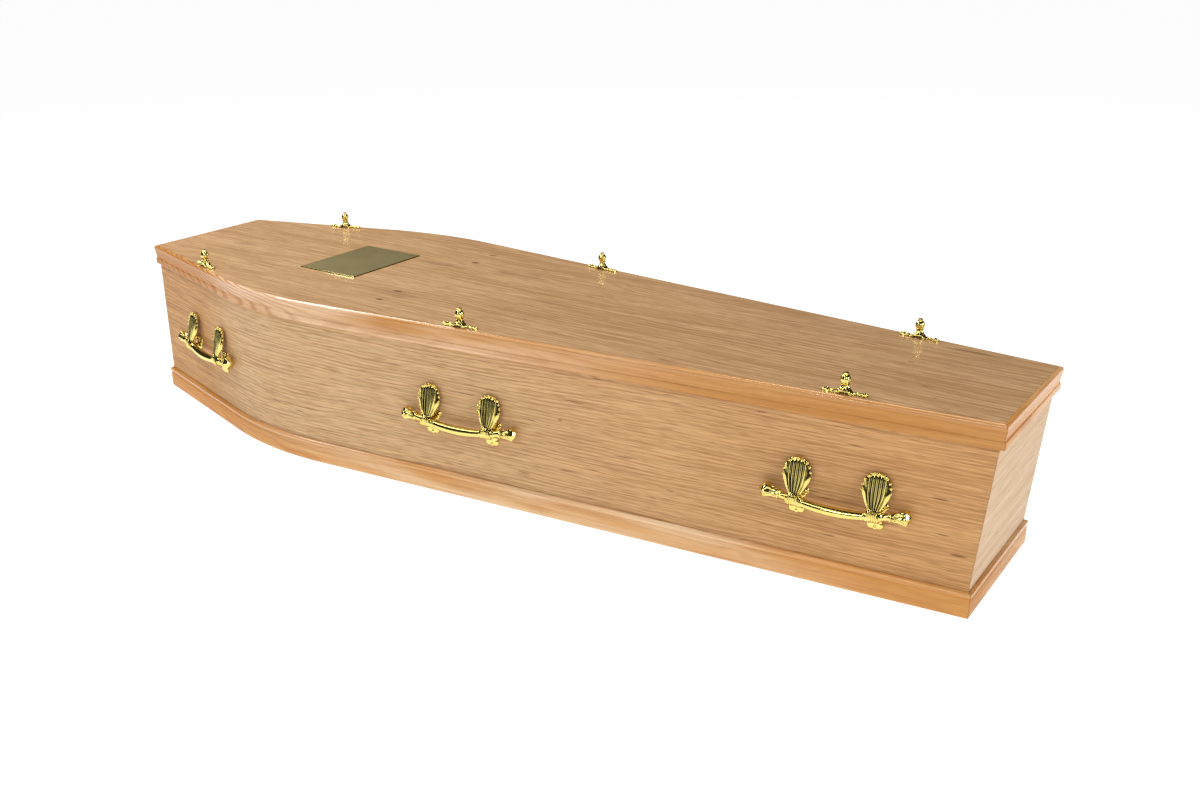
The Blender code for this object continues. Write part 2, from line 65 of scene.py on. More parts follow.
# Knots and streaks in the veneer: place along and across, half length and half width, strength
SIDE_MARKS = (
    ((0.876, 0.194), (0.016, 0.0022), 0.8),
    ((0.886, 0.134), (0.014, 0.0020), 0.7),
    ((0.913, 0.104), (0.016, 0.0022), 0.7),
    ((0.203, 0.197), (0.006, 0.0030), 0.5),
    ((-0.009, 0.211), (0.050, 0.0018), 0.6),
)
LID_MARKS = (
    ((-0.258, -0.126), (0.014, 0.0065), 0.9),
    ((-0.251, -0.188), (0.012, 0.0065), 0.95),
    ((-0.264, 0.129), (0.012, 0.0080), 0.9),
    ((-0.270, 0.197), (0.013, 0.0080), 0.7),
    ((-0.126, 0.103), (0.080, 0.0120), 0.28),
    ((0.062, -0.134), (0.006, 0.0040), 0.6),
    ((-0.262, -0.140), (0.070, 0.0300), 0.22),
    ((-0.330, 0.080), (0.080, 0.0150), 0.30),
    ((-0.800, -0.030), (0.050, 0.0130), 0.30),
    ((-0.620, 0.150), (0.090, 0.0120), 0.22),
    ((0.811, 0.140), (0.056, 0.0070), 0.6),
    ((0.744, 0.034), (0.006, 0.0030), 0.6),
    ((0.804, -0.064), (0.006, 0.0030), 0.5),
    ((0.835, -0.106), (0.006, 0.0030), 0.5),
)

# Rounded forms on the handle's back plate: place from the lug across, out and up, radii, segments, rings
PETALS = (
    ((0.0120, 0.0, 0.0120), (0.0078, 0.0032, 0.0066), 20, 12),
    ((0.0060, 0.0, 0.0060), (0.0090, 0.0034, 0.0080), 20, 12),
    ((0.0068, 0.0006, -0.0218), (0.0074, 0.0040, 0.0076), 22, 12),
    ((0.0046, 0.0, -0.0150), (0.0076, 0.0050, 0.0090), 20, 12),
)
PLATE_MIDDLE = (
    ((0.0, 0.0004, -0.0262), (0.0050, 0.0036, 0.0046), 18, 10),
    ((0.0, 0.0, -0.0060), (0.0100, 0.0060, 0.0140), 24, 12),
)

# Balls on the shell's rim: share of its height, share of its half width, share of the ball at the tip
RIM_BALLS = (
    (0.975, 0.0, 1.0), (0.955, 0.62, 0.80), (0.90, 0.86, 0.76), (0.81, 0.96, 0.72), (0.70, 1.0, 0.68),
    (0.58, 1.0, 0.60),
)

# Soft lights: name, place, what it points at, width, height and watts
LAMPS = (
    ("foot_light", (3.2, -0.7, 1.6), (0.9, 0.0, 0.15), 1.2, 1.0, 42.0),
    ("head_light", (-1.7, 0.15, 1.95), (-0.3, -0.1, 0.3), 1.9, 0.50, 36.0),
    ("side_light", (-1.0, -1.0, 1.9), (-0.5, -0.2, 0.2), 3.0, 0.45, 17.0),
    ("front_light", (0.5, -2.6, 1.5), (0.0, 0.0, 0.15), 0.8, 0.30, 11.0),
    ("top_light", (0.3, 0.4, 3.0), (0.1, 0.0, 0.0), 2.0, 0.8, 38.0),
)


def length(name, description, default):
    return FloatProperty(name=name, description=description, default=default, precision=4, unit="LENGTH")


def angle(name, description, default):
    return FloatProperty(name=name, description=description, default=default, unit="ROTATION")


def factor(name, description, default):
    return FloatProperty(name=name, description=description, default=default, min=0.0, soft_max=1.0)


def count(name, description, default):
    return IntProperty(name=name, description=description, default=default, min=1)


def colour(name, description, default):
    return FloatVectorProperty(
        name=name, description=description, default=default, size=3, subtype="COLOR", min=0.0, max=1.0,
    )


class BoardSizes(bpy.types.PropertyGroup):
    body_length: length("Body length", "Length over the boards at their top edge", 1.914)
    head_width: length("Head width", "Width over the boards at the head end", 0.2965)
    foot_width: length("Foot width", "Width over the boards at the foot end", 0.2985)
    shoulder_width: length("Shoulder width", "Width where the lines of the sides would meet", 0.584)
    shoulder_from_head: length("Shoulder from head", "Distance from the head end to the shoulder", 0.470)
    bend_radius: length("Bend radius", "Radius of the bend at the shoulder", 0.690)
    bend_steps: count("Bend steps", "Facets round the bend", 28)
    height: length("Height", "From the floor to the lid's top face", 0.337)
    lid_thickness: length("Lid thickness", "Thickness of the lid board", 0.018)
    board_thickness: length("Board thickness", "Thickness of the sides and ends", 0.017)
    foot_lean: length("Foot lean", "How far the foot end leans out at the top", 0.026)


class MouldingSizes(bpy.types.PropertyGroup):
    lid_projection: length("Lid projection", "How far the lid moulding stands out", 0.008)
    lid_depth: length("Lid moulding depth", "Height of the lid moulding", 0.043)
    lid_round: length("Lid round", "Radius of the lid moulding's top edge", 0.0066)
    lid_cove: length("Lid cove", "Depth of the long cove", 0.003)
    lid_bead_top: length("Lid bead top", "Distance from the lid's top to the bead", 0.0285)
    lid_bead_proud: length("Lid bead height", "How far the bead stands out of the cove", 0.0017)
    base_projection: length("Base projection", "How far the base moulding stands out", 0.007)
    base_height: length("Base moulding height", "Height of the base moulding", 0.045)
    base_bead: length("Base bead", "Height of the bead at the top", 0.0105)
    base_cove: length("Base cove", "Height of the small cove under the bead", 0.004)
    base_cove_depth: length("Base cove depth", "Depth of the small cove", 0.0022)
    base_setback: length("Base setback", "How far the flat face lies behind the bead", 0.0012)


class FittingPlaces(bpy.types.PropertyGroup):
    from_head: length("From head", "First fitting, from the lid's head end", 0.238)
    from_foot: length("From foot", "Last fitting, from the lid's foot end", 0.254)
    holder_inset: length("Holder inset", "Wreath holder, in from the moulding's face", 0.0165)
    handle_height: length("Handle height", "Centre line of the bar at the lugs", 0.149)
    handle_shift: length("Handle shift", "Handle, along from the wreath holder", 0.0025)


class HandleSizes(bpy.types.PropertyGroup):
    lug_spacing: length("Lug spacing", "Between the two lugs", 0.132)
    standoff: length("Stand-off", "From the wood to the bar's centre line", 0.0175)
    bar_radius: length("Bar radius", "Radius of the grip next to the lugs", 0.0072)
    grip_swell: length("Grip swell", "How much thicker the grip is in its middle", 0.0013)
    bow: length("Bow", "How far the grip bows away from the wood", 0.004)
    droop: length("Droop", "How far the grip hangs below the lugs", 0.005)
    end_fall: length("End fall", "How far the ends turn towards the wood", 0.0018)
    end_rise: length("End rise", "How far the ends turn up", 0.005)
    boss_radius: length("Boss radius", "Radius of the boss under each shell", 0.0088)
    boss_length: length("Boss length", "Length of the boss", 0.027)
    short_radius: length("Short bar radius", "Bar between the boss and the collar", 0.0064)
    collar_offset: length("Collar offset", "From the lug to the collar", 0.0270)
    collar_radius: length("Collar radius", "Radius of the collar", 0.0092)
    finial_length: length("Finial length", "From the collar to its widest part", 0.0225)
    finial_radius: length("Finial radius", "Finial at its widest", 0.0136)
    finial_point: length("Finial point", "Length of the blunt point", 0.0098)
    finial_recess: length("Finial recess", "Depth of the hollow in each face", 0.0016)
    shell_height: length("Shell height", "From the bar's centre line to the tip", 0.071)
    shell_width: length("Shell width", "Shell at its widest", 0.047)
    shell_neck: length("Shell neck", "Width of the neck", 0.025)
    shell_lean: length("Shell lean", "How far the tip leans back", 0.0180)
    shell_thickness: length("Shell thickness", "Thickness of the casting", 0.0022)
    rib_depth: length("Rib depth", "Depth of the grooves between the ribs", 0.0025)
    shell_step: length("Shell step", "How far the shell is set back above the neck", 0.0026)
    shell_camber: length("Shell camber", "How far the shell's edges curve back", 0.0020)
    ball_radius: length("Ball radius", "Ball at the shell's tip", 0.0034)


class HolderSizes(bpy.types.PropertyGroup):
    holder_length: length("Length", "From tip to tip", 0.076)
    arch_width: length("Arch width", "Width of the raised middle", 0.019)
    arch_height: length("Arch height", "Height of the raised middle", 0.0085)
    clear_height: length("Clear height", "Opening under the middle", 0.0055)
    arm_width: length("Arm width", "Width of the thin arms", 0.0064)
    arm_height: length("Arm height", "Height of the thin arms", 0.0030)
    leaf_width: length("Leaf width", "Width of the leafy tips", 0.0132)
    leaf_height: length("Leaf height", "Height of the leafy tips", 0.0045)
    arm_sway: length("Arm sway", "Sideways swing of the arms", 0.0016)


class ScrewSizes(bpy.types.PropertyGroup):
    shank_radius: length("Shank radius", "Radius of the hidden shank", 0.0025)
    shank_bite: length("Shank bite", "How far the shank enters the side board", 0.025)
    skirt_radius: length("Skirt radius", "Radius of the crown at the foot", 0.0088)
    skirt_height: length("Skirt height", "Height of the crown", 0.0060)
    neck_radius: length("Neck radius", "Radius of the necks", 0.0046)
    ring_radius: length("Ring radius", "Radius of the thin ring", 0.0070)
    ring_height: length("Ring height", "Height of the thin ring", 0.0018)
    bulb_radius: length("Bulb radius", "Radius of the lobed bulb", 0.0090)
    bulb_height: length("Bulb height", "Height of the lobed bulb", 0.0150)
    cap_radius: length("Cap radius", "Radius of the flat cap", 0.0046)
    cap_height: length("Cap height", "Height of the flat cap", 0.0030)
    lobes: count("Lobes", "Lobes round the bulb and the crown", 8)


class PlateSizes(bpy.types.PropertyGroup):
    plate_length: length("Length", "Along the coffin", 0.154)
    plate_width: length("Width", "Across the coffin", 0.209)
    thickness: length("Thickness", "Thickness of the plate", 0.002)
    from_head: length("From head", "Centre of the plate, from the lid's head end", 0.489)
    bevel: length("Bevel", "Width of the polished edge", 0.0016)
    corner: length("Corner radius", "Radius of the corners", 0.0015)


class Finishes(bpy.types.PropertyGroup):
    side_tone: colour("Side tone", "Main colour of the side veneer", (0.665, 0.380, 0.165))
    side_dark: colour("Side dark", "Grain colour of the side veneer", (0.360, 0.165, 0.060))
    lid_tone: colour("Lid tone", "Main colour of the lid veneer", (0.570, 0.360, 0.188))
    lid_dark: colour("Lid dark", "Grain colour of the lid veneer", (0.340, 0.170, 0.075))
    # The end veneer is a paler, greyer copy of the side veneer, with painted light and sheen of the lamp on
    # the foot end
    lit_end_tone: colour("End tone", "Main colour of the end veneer", (0.690, 0.510, 0.340))
    lit_end_dark: colour("End dark", "Grain colour of the end veneer", (0.540, 0.340, 0.190))
    timber_tone: colour("Timber tone", "Main colour of the mouldings", (0.600, 0.278, 0.073))
    # Painted sheen: pale pinkish tone laid over part of the mouldings in place of the varnish's sheen
    timber_sheen: colour("Timber pale", "Pinkish pale colour of the mouldings", (0.900, 0.620, 0.400))
    timber_dark: colour("Timber dark", "Grain colour of the mouldings", (0.400, 0.140, 0.035))
    mark: colour("Mark", "Knots, flecks and mineral streaks", (0.120, 0.055, 0.025))
    brass: colour("Brass", "Polished brass", (0.820, 0.690, 0.230))
    # Painted shade: near black tone for the grooves of the castings, partly patina
    recess: colour("Recess", "Darkened brass in the hollows of the castings", (0.060, 0.048, 0.016))
    plate: colour("Nameplate brass", "Dull brass of the nameplate", (0.270, 0.215, 0.090))
    side_gloss: factor("Side roughness", "Roughness of the side veneer", 0.50)
    lid_gloss: factor("Lid roughness", "Roughness of the lid veneer", 0.30)
    brass_gloss: factor("Brass roughness", "Roughness of the polished brass", 0.07)


class Studio(bpy.types.PropertyGroup):
    lens: FloatProperty(name="Lens", description="Focal length in millimetres", default=37.74)
    camera_place: FloatVectorProperty(
        name="Camera", description="Place of the camera", default=(1.4032, -1.9182, 1.0461), size=3,
        subtype="TRANSLATION", unit="LENGTH", precision=4,
    )
    yaw: angle("Yaw", "Turn of the camera from the length of the coffin", 2.1528)
    pitch: angle("Pitch", "How far the camera looks down", 0.3723)
    roll: angle("Roll", "Turn of the camera about its own axis", 0.0011)
    floor_size: length("Floor size", "Half the width of the floor", 60.0)
    floor_tone: colour("Floor", "Colour of the floor", (0.35, 0.35, 0.35))
    floor_glow: factor("Floor glow", "Light that the floor itself gives", 0.96)
    world_glow: factor("Surroundings", "Strength of the dim surroundings", 0.035)
    wall_glow: factor("Wall glow", "Brightness of the pale wall behind the coffin", 0.98)


class CoffinSettings(bpy.types.PropertyGroup):
    boards: PointerProperty(type=BoardSizes)
    mouldings: PointerProperty(type=MouldingSizes)
    places: PointerProperty(type=FittingPlaces)
    handle: PointerProperty(type=HandleSizes)
    holder: PointerProperty(type=HolderSizes)
    screw: PointerProperty(type=ScrewSizes)
    plate: PointerProperty(type=PlateSizes)
    finishes: PointerProperty(type=Finishes)
    studio: PointerProperty(type=Studio)


class Plan:
    """The coffin's outline from above, and the places of what is fixed to it."""

    def __init__(self, settings):
        boards = settings.boards
        self.boards = boards
        self.mouldings = settings.mouldings
        self.places = settings.places
        self.head_x = -boards.body_length / 2
        self.foot_x = boards.body_length / 2
        self.side_top = boards.height - boards.lid_thickness - GAP
        self.shoulder = Vector((self.head_x + boards.shoulder_from_head, boards.shoulder_width / 2))
        head_slope = math.atan2((boards.shoulder_width - boards.head_width) / 2, boards.shoulder_from_head)
        foot_run = boards.body_length - boards.shoulder_from_head
        foot_slope = math.atan2((boards.shoulder_width - boards.foot_width) / 2, foot_run)
        self.head_normal = Vector((-math.sin(head_slope), math.cos(head_slope)))
        self.foot_normal = Vector((math.sin(foot_slope), math.cos(foot_slope)))
        both = self.head_normal + self.foot_normal
        reach = boards.bend_radius / (1 + self.head_normal.dot(self.foot_normal))
        self.bend_centre = self.shoulder - both * reach

    def foot_plane(self, z):
        return self.foot_x - self.boards.foot_lean * (self.side_top - z) / self.side_top

    def head_corner(self, offset):
        x = self.head_x - offset
        rise = (offset - (x - self.shoulder.x) * self.head_normal.x) / self.head_normal.y
        return Vector((x, self.shoulder.y + rise))

    def foot_corner(self, offset, plane):
        x = plane + offset
        rise = (offset - (x - self.shoulder.x) * self.foot_normal.x) / self.foot_normal.y
        return Vector((x, self.shoulder.y + rise))

    def side_run(self, offset, plane):
        """Left side from head to foot: straight, round the shoulder, straight."""
        start = math.atan2(self.head_normal.y, self.head_normal.x)
        end = math.atan2(self.foot_normal.y, self.foot_normal.x)
        radius = self.boards.bend_radius + offset
        steps = self.boards.bend_steps
        points = [self.head_corner(offset)]
        for i in range(steps + 1):
            turn = start + (end - start) * i / steps
            points.append(self.bend_centre + radius * Vector((math.cos(turn), math.sin(turn))))
        points.append(self.foot_corner(offset, plane))
        return points

    def fitting_x(self, index):
        projection = self.mouldings.lid_projection
        first = self.head_x - projection + self.places.from_head
        last = self.foot_x + projection - self.places.from_foot
        return first + (last - first) * index / (len(PLACES) - 1)

    def side_frame(self, x, side, height):
        """A frame on the outer face of a side: along it, out of it, and up."""
        out = self.head_normal if x < self.shoulder.x else self.foot_normal
        y = self.shoulder.y - (x - self.shoulder.x) * out.x / out.y
        outward = Vector((out.x, out.y * side, 0.0))
        up = Vector((0.0, 0.0, 1.0))
        place = Matrix((outward.cross(up), outward, up)).transposed().to_4x4()
        place.translation = Vector((x, y * side, height))
        return place

    def lid_frame(self, x, side):
        """A frame on the lid, a set distance in from the moulding's face."""
        place = self.side_frame(x, side, self.boards.height + GAP)
        inset = self.mouldings.lid_projection - self.places.holder_inset
        place.translation += place.to_3x3() @ Vector((0.0, inset, 0.0))
        return place


class Shade:
    """A material's nodes, added one step at a time."""

    def __init__(self, name):
        self.material = bpy.data.materials.new(name)
        self.material.use_nodes = True
        self.tree = self.material.node_tree
        self.shader = self.tree.nodes["Principled BSDF"]

    def feed(self, socket, value):
        """Link a socket to another one, or give it a value of its own."""
        if isinstance(value, bpy.types.NodeSocket):
            self.tree.links.new(value, socket)
        elif isinstance(value, (tuple, list)) and len(value) == 3 and socket.type == "RGBA":
            socket.default_value = (*value, 1.0)
        else:
            socket.default_value = value

    def surface(self, name, value):
        """Feed one of the shader's own sockets."""
        self.feed(self.shader.inputs[name], value)

    def node(self, kind, **settings):
        node = self.tree.nodes.new(kind)
        for key, value in settings.items():
            setattr(node, key, value)
        return node

    def maths(self, operation, first, second=0.0, clamp=False):
        node = self.node("ShaderNodeMath", operation=operation, use_clamp=clamp)
        self.feed(node.inputs[0], first)
        self.feed(node.inputs[1], second)
        return node.outputs[0]

    def times(self, first, second, clamp=False):
        return self.maths("MULTIPLY", first, second, clamp)

    def plus(self, first, second):
        return self.maths("ADD", first, second)

    def less(self, first, second, clamp=False):
        return self.maths("SUBTRACT", first, second, clamp)

    def wave(self, turns):
        """A sine that runs through once a turn, between -1 and 1."""
        return self.maths("SINE", self.times(turns, 2 * math.pi))

    def axes(self):
        """The piece's own X, Y and Z, in metres."""
        split = self.node("ShaderNodeSeparateXYZ")
        self.feed(split.inputs[0], self.node("ShaderNodeTexCoord").outputs["Object"])
        return split.outputs["X"], split.outputs["Y"], split.outputs["Z"]

    def board_axes(self, letters):
        """Places along a board, across it and through it; the letters name the first two."""
        named = dict(zip("XYZ", self.axes()))
        third = next(letter for letter in "XYZ" if letter not in letters)
        return named[letters[0]], named[letters[1]], named[third]

    def grain(self, place, scales, detail=2.0, roughness=0.5):
        """Noise with its number of features to the metre on each axis."""
        stretched = self.node("ShaderNodeCombineXYZ")
        for socket, axis, scale in zip(stretched.inputs, place, scales):
            self.feed(socket, self.times(axis, scale))
        node = self.node("ShaderNodeTexNoise")
        self.feed(node.inputs["Vector"], stretched.outputs[0])
        for name, value in (("Scale", 1.0), ("Detail", detail), ("Roughness", roughness)):
            node.inputs[name].default_value = value
        return node.outputs["Fac"]

    def span(self, value, low, high, to_low=0.0, to_high=1.0, smooth=False):
        """Map a value from one range to another, held at both ends."""
        node = self.node("ShaderNodeMapRange", clamp=True)
        if smooth:
            node.interpolation_type = "SMOOTHSTEP"
        for socket, entry in zip(node.inputs, (value, low, high, to_low, to_high)):
            self.feed(socket, entry)
        return node.outputs[0]

    def mix(self, share, first, second):
        node = self.node("ShaderNodeMix", data_type="RGBA")
        self.feed(node.inputs["Factor"], share)
        colours = [socket for socket in node.inputs if socket.type == "RGBA"]
        self.feed(colours[0], first)
        self.feed(colours[1], second)
        return next(socket for socket in node.outputs if socket.type == "RGBA")

    def spot(self, x, y, centre, radii):
        """1 at the centre of an oval and 0 at its edge."""
        squares = []
        for axis, middle, radius in zip((x, y), centre, radii):
            share = self.maths("DIVIDE", self.less(axis, middle), radius)
            squares.append(self.times(share, share))
        return self.less(1.0, self.plus(*squares), clamp=True)

    def bump(self, height, depth):
        """Shade the surface as if it had a relief of the given depth."""
        node = self.node("ShaderNodeBump")
        node.inputs["Strength"].default_value = 1.0
        node.inputs["Distance"].default_value = depth
        self.feed(node.inputs["Height"], height)
        self.surface("Normal", node.outputs[0])


def veneer(name, letters, tones, roughness, coat, spread, contrast, marks=(), bend_sheen=0.0):
    """Sliced oak on a flat board: long fine growth lines, pores and a few marks.

    letters name the board's length and width. spread is the growth lines to the metre across it, contrast
    how strongly they show, and bend_sheen how strongly a painted sheen pales the veneer round the bend.
    """
    tone, dark, mark = tones
    shade = Shade(name)
    place = shade.board_axes(letters)
    along, across = place[:2]
    drift = shade.grain(place, (1.4, 7.0, 1.0))
    bent = shade.plus(across, shade.times(drift, 0.022))
    curved = (along, bent, place[2])
    broad = shade.grain(curved, (1.6, 0.16 * spread, 1.0), 3.0, 0.7)
    ripple = shade.grain(place, (4.5, 0.09 * spread, 1.0))
    growth = shade.wave(shade.plus(shade.times(bent, 0.50 * spread), shade.times(ripple, 2.6)))
    presence = shade.grain(curved, (3.5, 0.22 * spread, 1.0), 1.0)
    lines = shade.grain(curved, (7.0, 1.25 * spread, 1.0), 1.0)
    fine = shade.grain(curved, (28.0, 2.6 * spread, 1.0), 1.0)
    flecks = shade.grain(place, (16.0, 0.9 * spread, 3.0), 1.0)
    soft = (tone[0] * 0.84, tone[1] * 0.77, tone[2] * 0.66)
    pale = tuple(min(channel * 1.13, 1.0) for channel in tone)
    body = shade.mix(shade.span(broad, 0.72, 0.30), soft, pale)
    # Painted sheen: paler, greyer veneer along the shoulder bend, where a lamp's sheen falls
    if bend_sheen:
        sheen_tone = (tone[0] * 1.13, tone[1] * 1.38, tone[2] * 1.80)
        rise = shade.span(along, -0.78, -0.54, smooth=True)
        fall = shade.span(along, 0.80, -0.28)
        body = shade.mix(shade.times(shade.times(rise, fall), bend_sheen), body, sheen_tone)
    shown = shade.span(presence, 0.35, 0.62, 0.12 * contrast, 0.46 * contrast)
    body = shade.mix(shade.times(shade.span(growth, 0.05, 1.0), shown), body, dark)
    body = shade.mix(shade.span(lines, 0.48, 0.66, 0.0, 0.34 * contrast), body, dark)
    body = shade.mix(shade.span(lines, 0.46, 0.34, 0.0, 0.42), body, pale)
    body = shade.mix(shade.span(fine, 0.50, 0.66, 0.0, 0.44 * contrast), body, dark)
    body = shade.mix(shade.span(flecks, 0.72, 0.77, 0.0, 0.60), body, mark)
    frayed = shade.span(fine, 0.30, 0.60, 0.55, 1.25)
    for centre, radii, strength in marks:
        ragged = shade.times(shade.spot(along, across, centre, radii), frayed, clamp=True)
        body = shade.mix(shade.times(ragged, strength), body, mark)
    shade.surface("Base Color", body)
    shade.surface("Roughness", shade.span(fine, 0.3, 0.7, roughness - 0.05, roughness + 0.08))
    shade.surface("Specular IOR Level", 0.12)
    shade.surface("Coat Weight", coat)
    shade.surface("Coat Roughness", 0.09)
    pores = shade.span(fine, 0.50, 0.72, 0.5, 0.0)
    shade.bump(shade.plus(shade.span(lines, 0.45, 0.70, 0.5, 0.0), pores), 0.00010)
    return shade.material


def timber(name, letters, head, middle, tones, figure, coat, sheen_span):
    """Bent solid oak for the mouldings, with slanting growth rings that stretch out away from the head.

    head is where the rings start, and figure their strength. middle is the middle of the strip's depth, coat
    how much varnish it carries, and sheen_span where a painted sheen, a paler stretch, sets in and fades,
    from the head.
    """
    tone, pale, dark, mark = tones
    shade = Shade(name)
    place = shade.board_axes(letters)
    along, across = place[:2]
    drift = shade.grain(place, (14.0, 30.0, 1.0), 3.0)
    slow = shade.grain(place, (2.2, 16.0, 0.6))
    start = shade.less(along, head)
    offset = shade.less(across, middle)
    crowd = shade.maths("POWER", math.e, shade.times(start, -2.1))
    slant = shade.plus(shade.times(crowd, 95.0), 38.0)
    phase = shade.times(offset, slant)
    phase = shade.plus(phase, shade.times(shade.times(offset, offset), 2600.0))
    phase = shade.less(phase, shade.times(crowd, 19.0 * figure))
    phase = shade.plus(phase, shade.times(drift, 1.5))
    phase = shade.plus(phase, shade.times(slow, 3.0))
    rings = shade.span(shade.wave(phase), -0.1, 1.0)
    strength = shade.span(start, 0.16, 0.75, 0.35 + 0.45 * figure, 0.18, smooth=True)
    lines = shade.grain(place, (4.0, 330.0, 1.0), 3.0, 0.6)
    fine = shade.grain(place, (22.0, 1100.0, 1.0))
    warm = shade.grain(place, (3.0, 42.0, 1.0))
    # Painted sheen: a stretch near the shoulder where the timber turns pale in patches
    sheen_zone = shade.span(start, *sheen_span[2:], 1.0, 0.10, smooth=True)
    sheen_zone = shade.times(sheen_zone, shade.span(start, *sheen_span[:2]))
    body = shade.mix(shade.times(shade.span(slow, 0.30, 0.55), sheen_zone), tone, pale)
    kept = shade.span(sheen_zone, 0.3, 1.0, 1.0, 0.35)
    body = shade.mix(shade.times(shade.span(warm, 0.50, 0.68, 0.0, 0.70), kept), body, tone)
    body = shade.mix(shade.span(lines, 0.46, 0.68, 0.0, 0.34), body, dark)
    body = shade.mix(shade.times(rings, strength), body, dark)
    body = shade.mix(shade.span(fine, 0.58, 0.74, 0.0, 0.28), body, mark)
    shade.surface("Base Color", body)
    shade.surface("Roughness", shade.span(fine, 0.3, 0.7, 0.30, 0.40))
    shade.surface("Specular IOR Level", 0.06)
    shade.surface("Coat Weight", shade.span(offset, 0.011, 0.016, coat, 0.95))
    shade.surface("Coat Roughness", 0.07)
    shade.bump(shade.span(lines, 0.3, 0.7, 1.0, 0.0), 0.00005)
    return shade.material


def cast_brass(name, tone, recess, roughness):
    """Polished cast brass, a little uneven in colour, gloss and surface, with painted shade in its grooves,
    partly patina.
    """
    shade = Shade(name)
    place = shade.axes()
    cloud = shade.grain(place, (70.0, 70.0, 70.0))
    pits = shade.grain(place, (900.0, 900.0, 900.0))
    deeper = (tone[0] * 0.97, tone[1] * 0.92, tone[2] * 0.80)
    body = shade.mix(shade.span(cloud, 0.35, 0.65), tone, deeper)
    # Painted shade: the groove attribute blends the brass towards the near black groove tone
    hollow = shade.node("ShaderNodeAttribute", attribute_name=GROOVE_SHADE).outputs["Fac"]
    shade.surface("Base Color", shade.mix(hollow, body, recess))
    shade.surface("Metallic", 1.0)
    shade.surface("Roughness", shade.span(cloud, 0.3, 0.7, roughness * 0.7, roughness * 1.6))
    shade.bump(shade.plus(shade.times(cloud, 4.0), pits), 0.00004)
    return shade.material


def plate_brass(name, tone, edge, height):
    """Brushed brass sheet with fine scratches along it, polished on the edge below the given height."""
    shade = Shade(name)
    place = shade.axes()
    brushed = shade.grain(place, (40.0, 2500.0, 40.0))
    cloud = shade.grain(place, (12.0, 12.0, 12.0))
    deeper = tuple(channel * 0.86 for channel in tone)
    face = shade.span(place[2], height - 0.0002, height)
    body = shade.mix(shade.span(cloud, 0.35, 0.65), tone, deeper)
    shade.surface("Base Color", shade.mix(face, edge, body))
    shade.surface("Metallic", shade.span(face, 0.0, 1.0, 1.0, 0.60))
    dull = shade.times(face, shade.span(brushed, 0.3, 0.7, 0.24, 0.36))
    shade.surface("Roughness", shade.plus(dull, 0.10))
    shade.bump(brushed, 0.00002)
    return shade.material


def loft(bm, loops):
    """Skin matching closed loops of points, and close both ends."""
    rings = [[bm.verts.new(point) for point in loop] for loop in loops]
    number = len(rings[0])
    for ring, following in zip(rings, rings[1:]):
        for i in range(number):
            j = (i + 1) % number
            bm.faces.new((ring[i], ring[j], following[j], following[i]))
    bm.faces.new(rings[0])
    bm.faces.new(rings[-1])
    return rings


def mesh_from(name, bm, material, crease=40.0):
    """Close the mesh with smooth faces, kept crisp where they meet at more than the crease angle."""
    bmesh.ops.recalc_face_normals(bm, faces=bm.faces)
    mesh = bpy.data.meshes.new(name)
    bm.to_mesh(mesh)
    bm.free()
    mesh.materials.append(material)
    mesh.shade_smooth()
    mesh.set_sharp_from_angle(angle=math.radians(crease))
    return mesh


def place_piece(node, mesh, place):
    """Put a finished piece where its CAD node is, and let it stand for that node."""
    piece = bpy.data.objects.new(f"{node}_finished", mesh)
    bpy.context.scene.collection.objects.link(piece)
    piece.matrix_world = place
    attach(piece, BODY)
    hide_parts(node)


def ball(bm, centre, radii, floor=None, segments=14, rings=8):
    """A rounded bead. floor is an axis and the lowest place on it that the bead reaches."""
    made = bmesh.ops.create_uvsphere(bm, u_segments=segments, v_segments=rings, radius=1.0)
    for vert in made["verts"]:
        vert.co = Vector(centre) + Vector(a * b for a, b in zip(vert.co, radii))
        if floor is not None:
            axis, level = floor
            vert.co[axis] = max(vert.co[axis], level)


def smooth_step(value):
    value = min(max(value, 0.0), 1.0)
    return value * value * (3 - 2 * value)


def blended(knots, value):
    """A smooth way through pairs of place and value."""
    for (low, first), (high, second) in zip(knots, knots[1:]):
        if value <= high:
            share = smooth_step((value - low) / (high - low))
            return first + (second - first) * share
    return knots[-1][1]


def arc(centre, radius, start, end, steps):
    """Points on a circle between two turns in degrees."""
    points = []
    for i in range(steps + 1):
        turn = math.radians(start + (end - start) * i / steps)
        points.append((centre[0] + radius * math.cos(turn), centre[1] + radius * math.sin(turn)))
    return points


def lid_profile(sizes, top):
    """Flat back, rounded top edge, long shallow cove, and a bead along the bottom."""
    face = sizes.lid_projection
    bottom = top - sizes.lid_depth
    bead_top = top - sizes.lid_bead_top
    waist = face - sizes.lid_cove
    bead = waist + sizes.lid_bead_proud
    radius = sizes.lid_round
    profile = [(2 * GAP, bottom), (2 * GAP, top)]
    profile += arc((face - radius, top - radius), radius, 90, 0, 7)
    fall = top - radius - bead_top
    cove_steps = 9
    for i in range(1, cove_steps):
        share = i / cove_steps
        depth = sizes.lid_cove * math.sin(share * math.pi / 2) ** 1.4
        profile.append((face - depth, top - radius - share * fall))
    profile.append((waist, bead_top + 0.0004))
    profile.append((waist, bead_top))
    round_radius = sizes.lid_bead_proud * 1.6
    profile += arc((bead - round_radius, bead_top - round_radius), round_radius, 68, 0, 4)
    low_radius = 0.0042
    profile += arc((bead - low_radius, bottom + low_radius), low_radius, 0, -72, 5)
    return profile


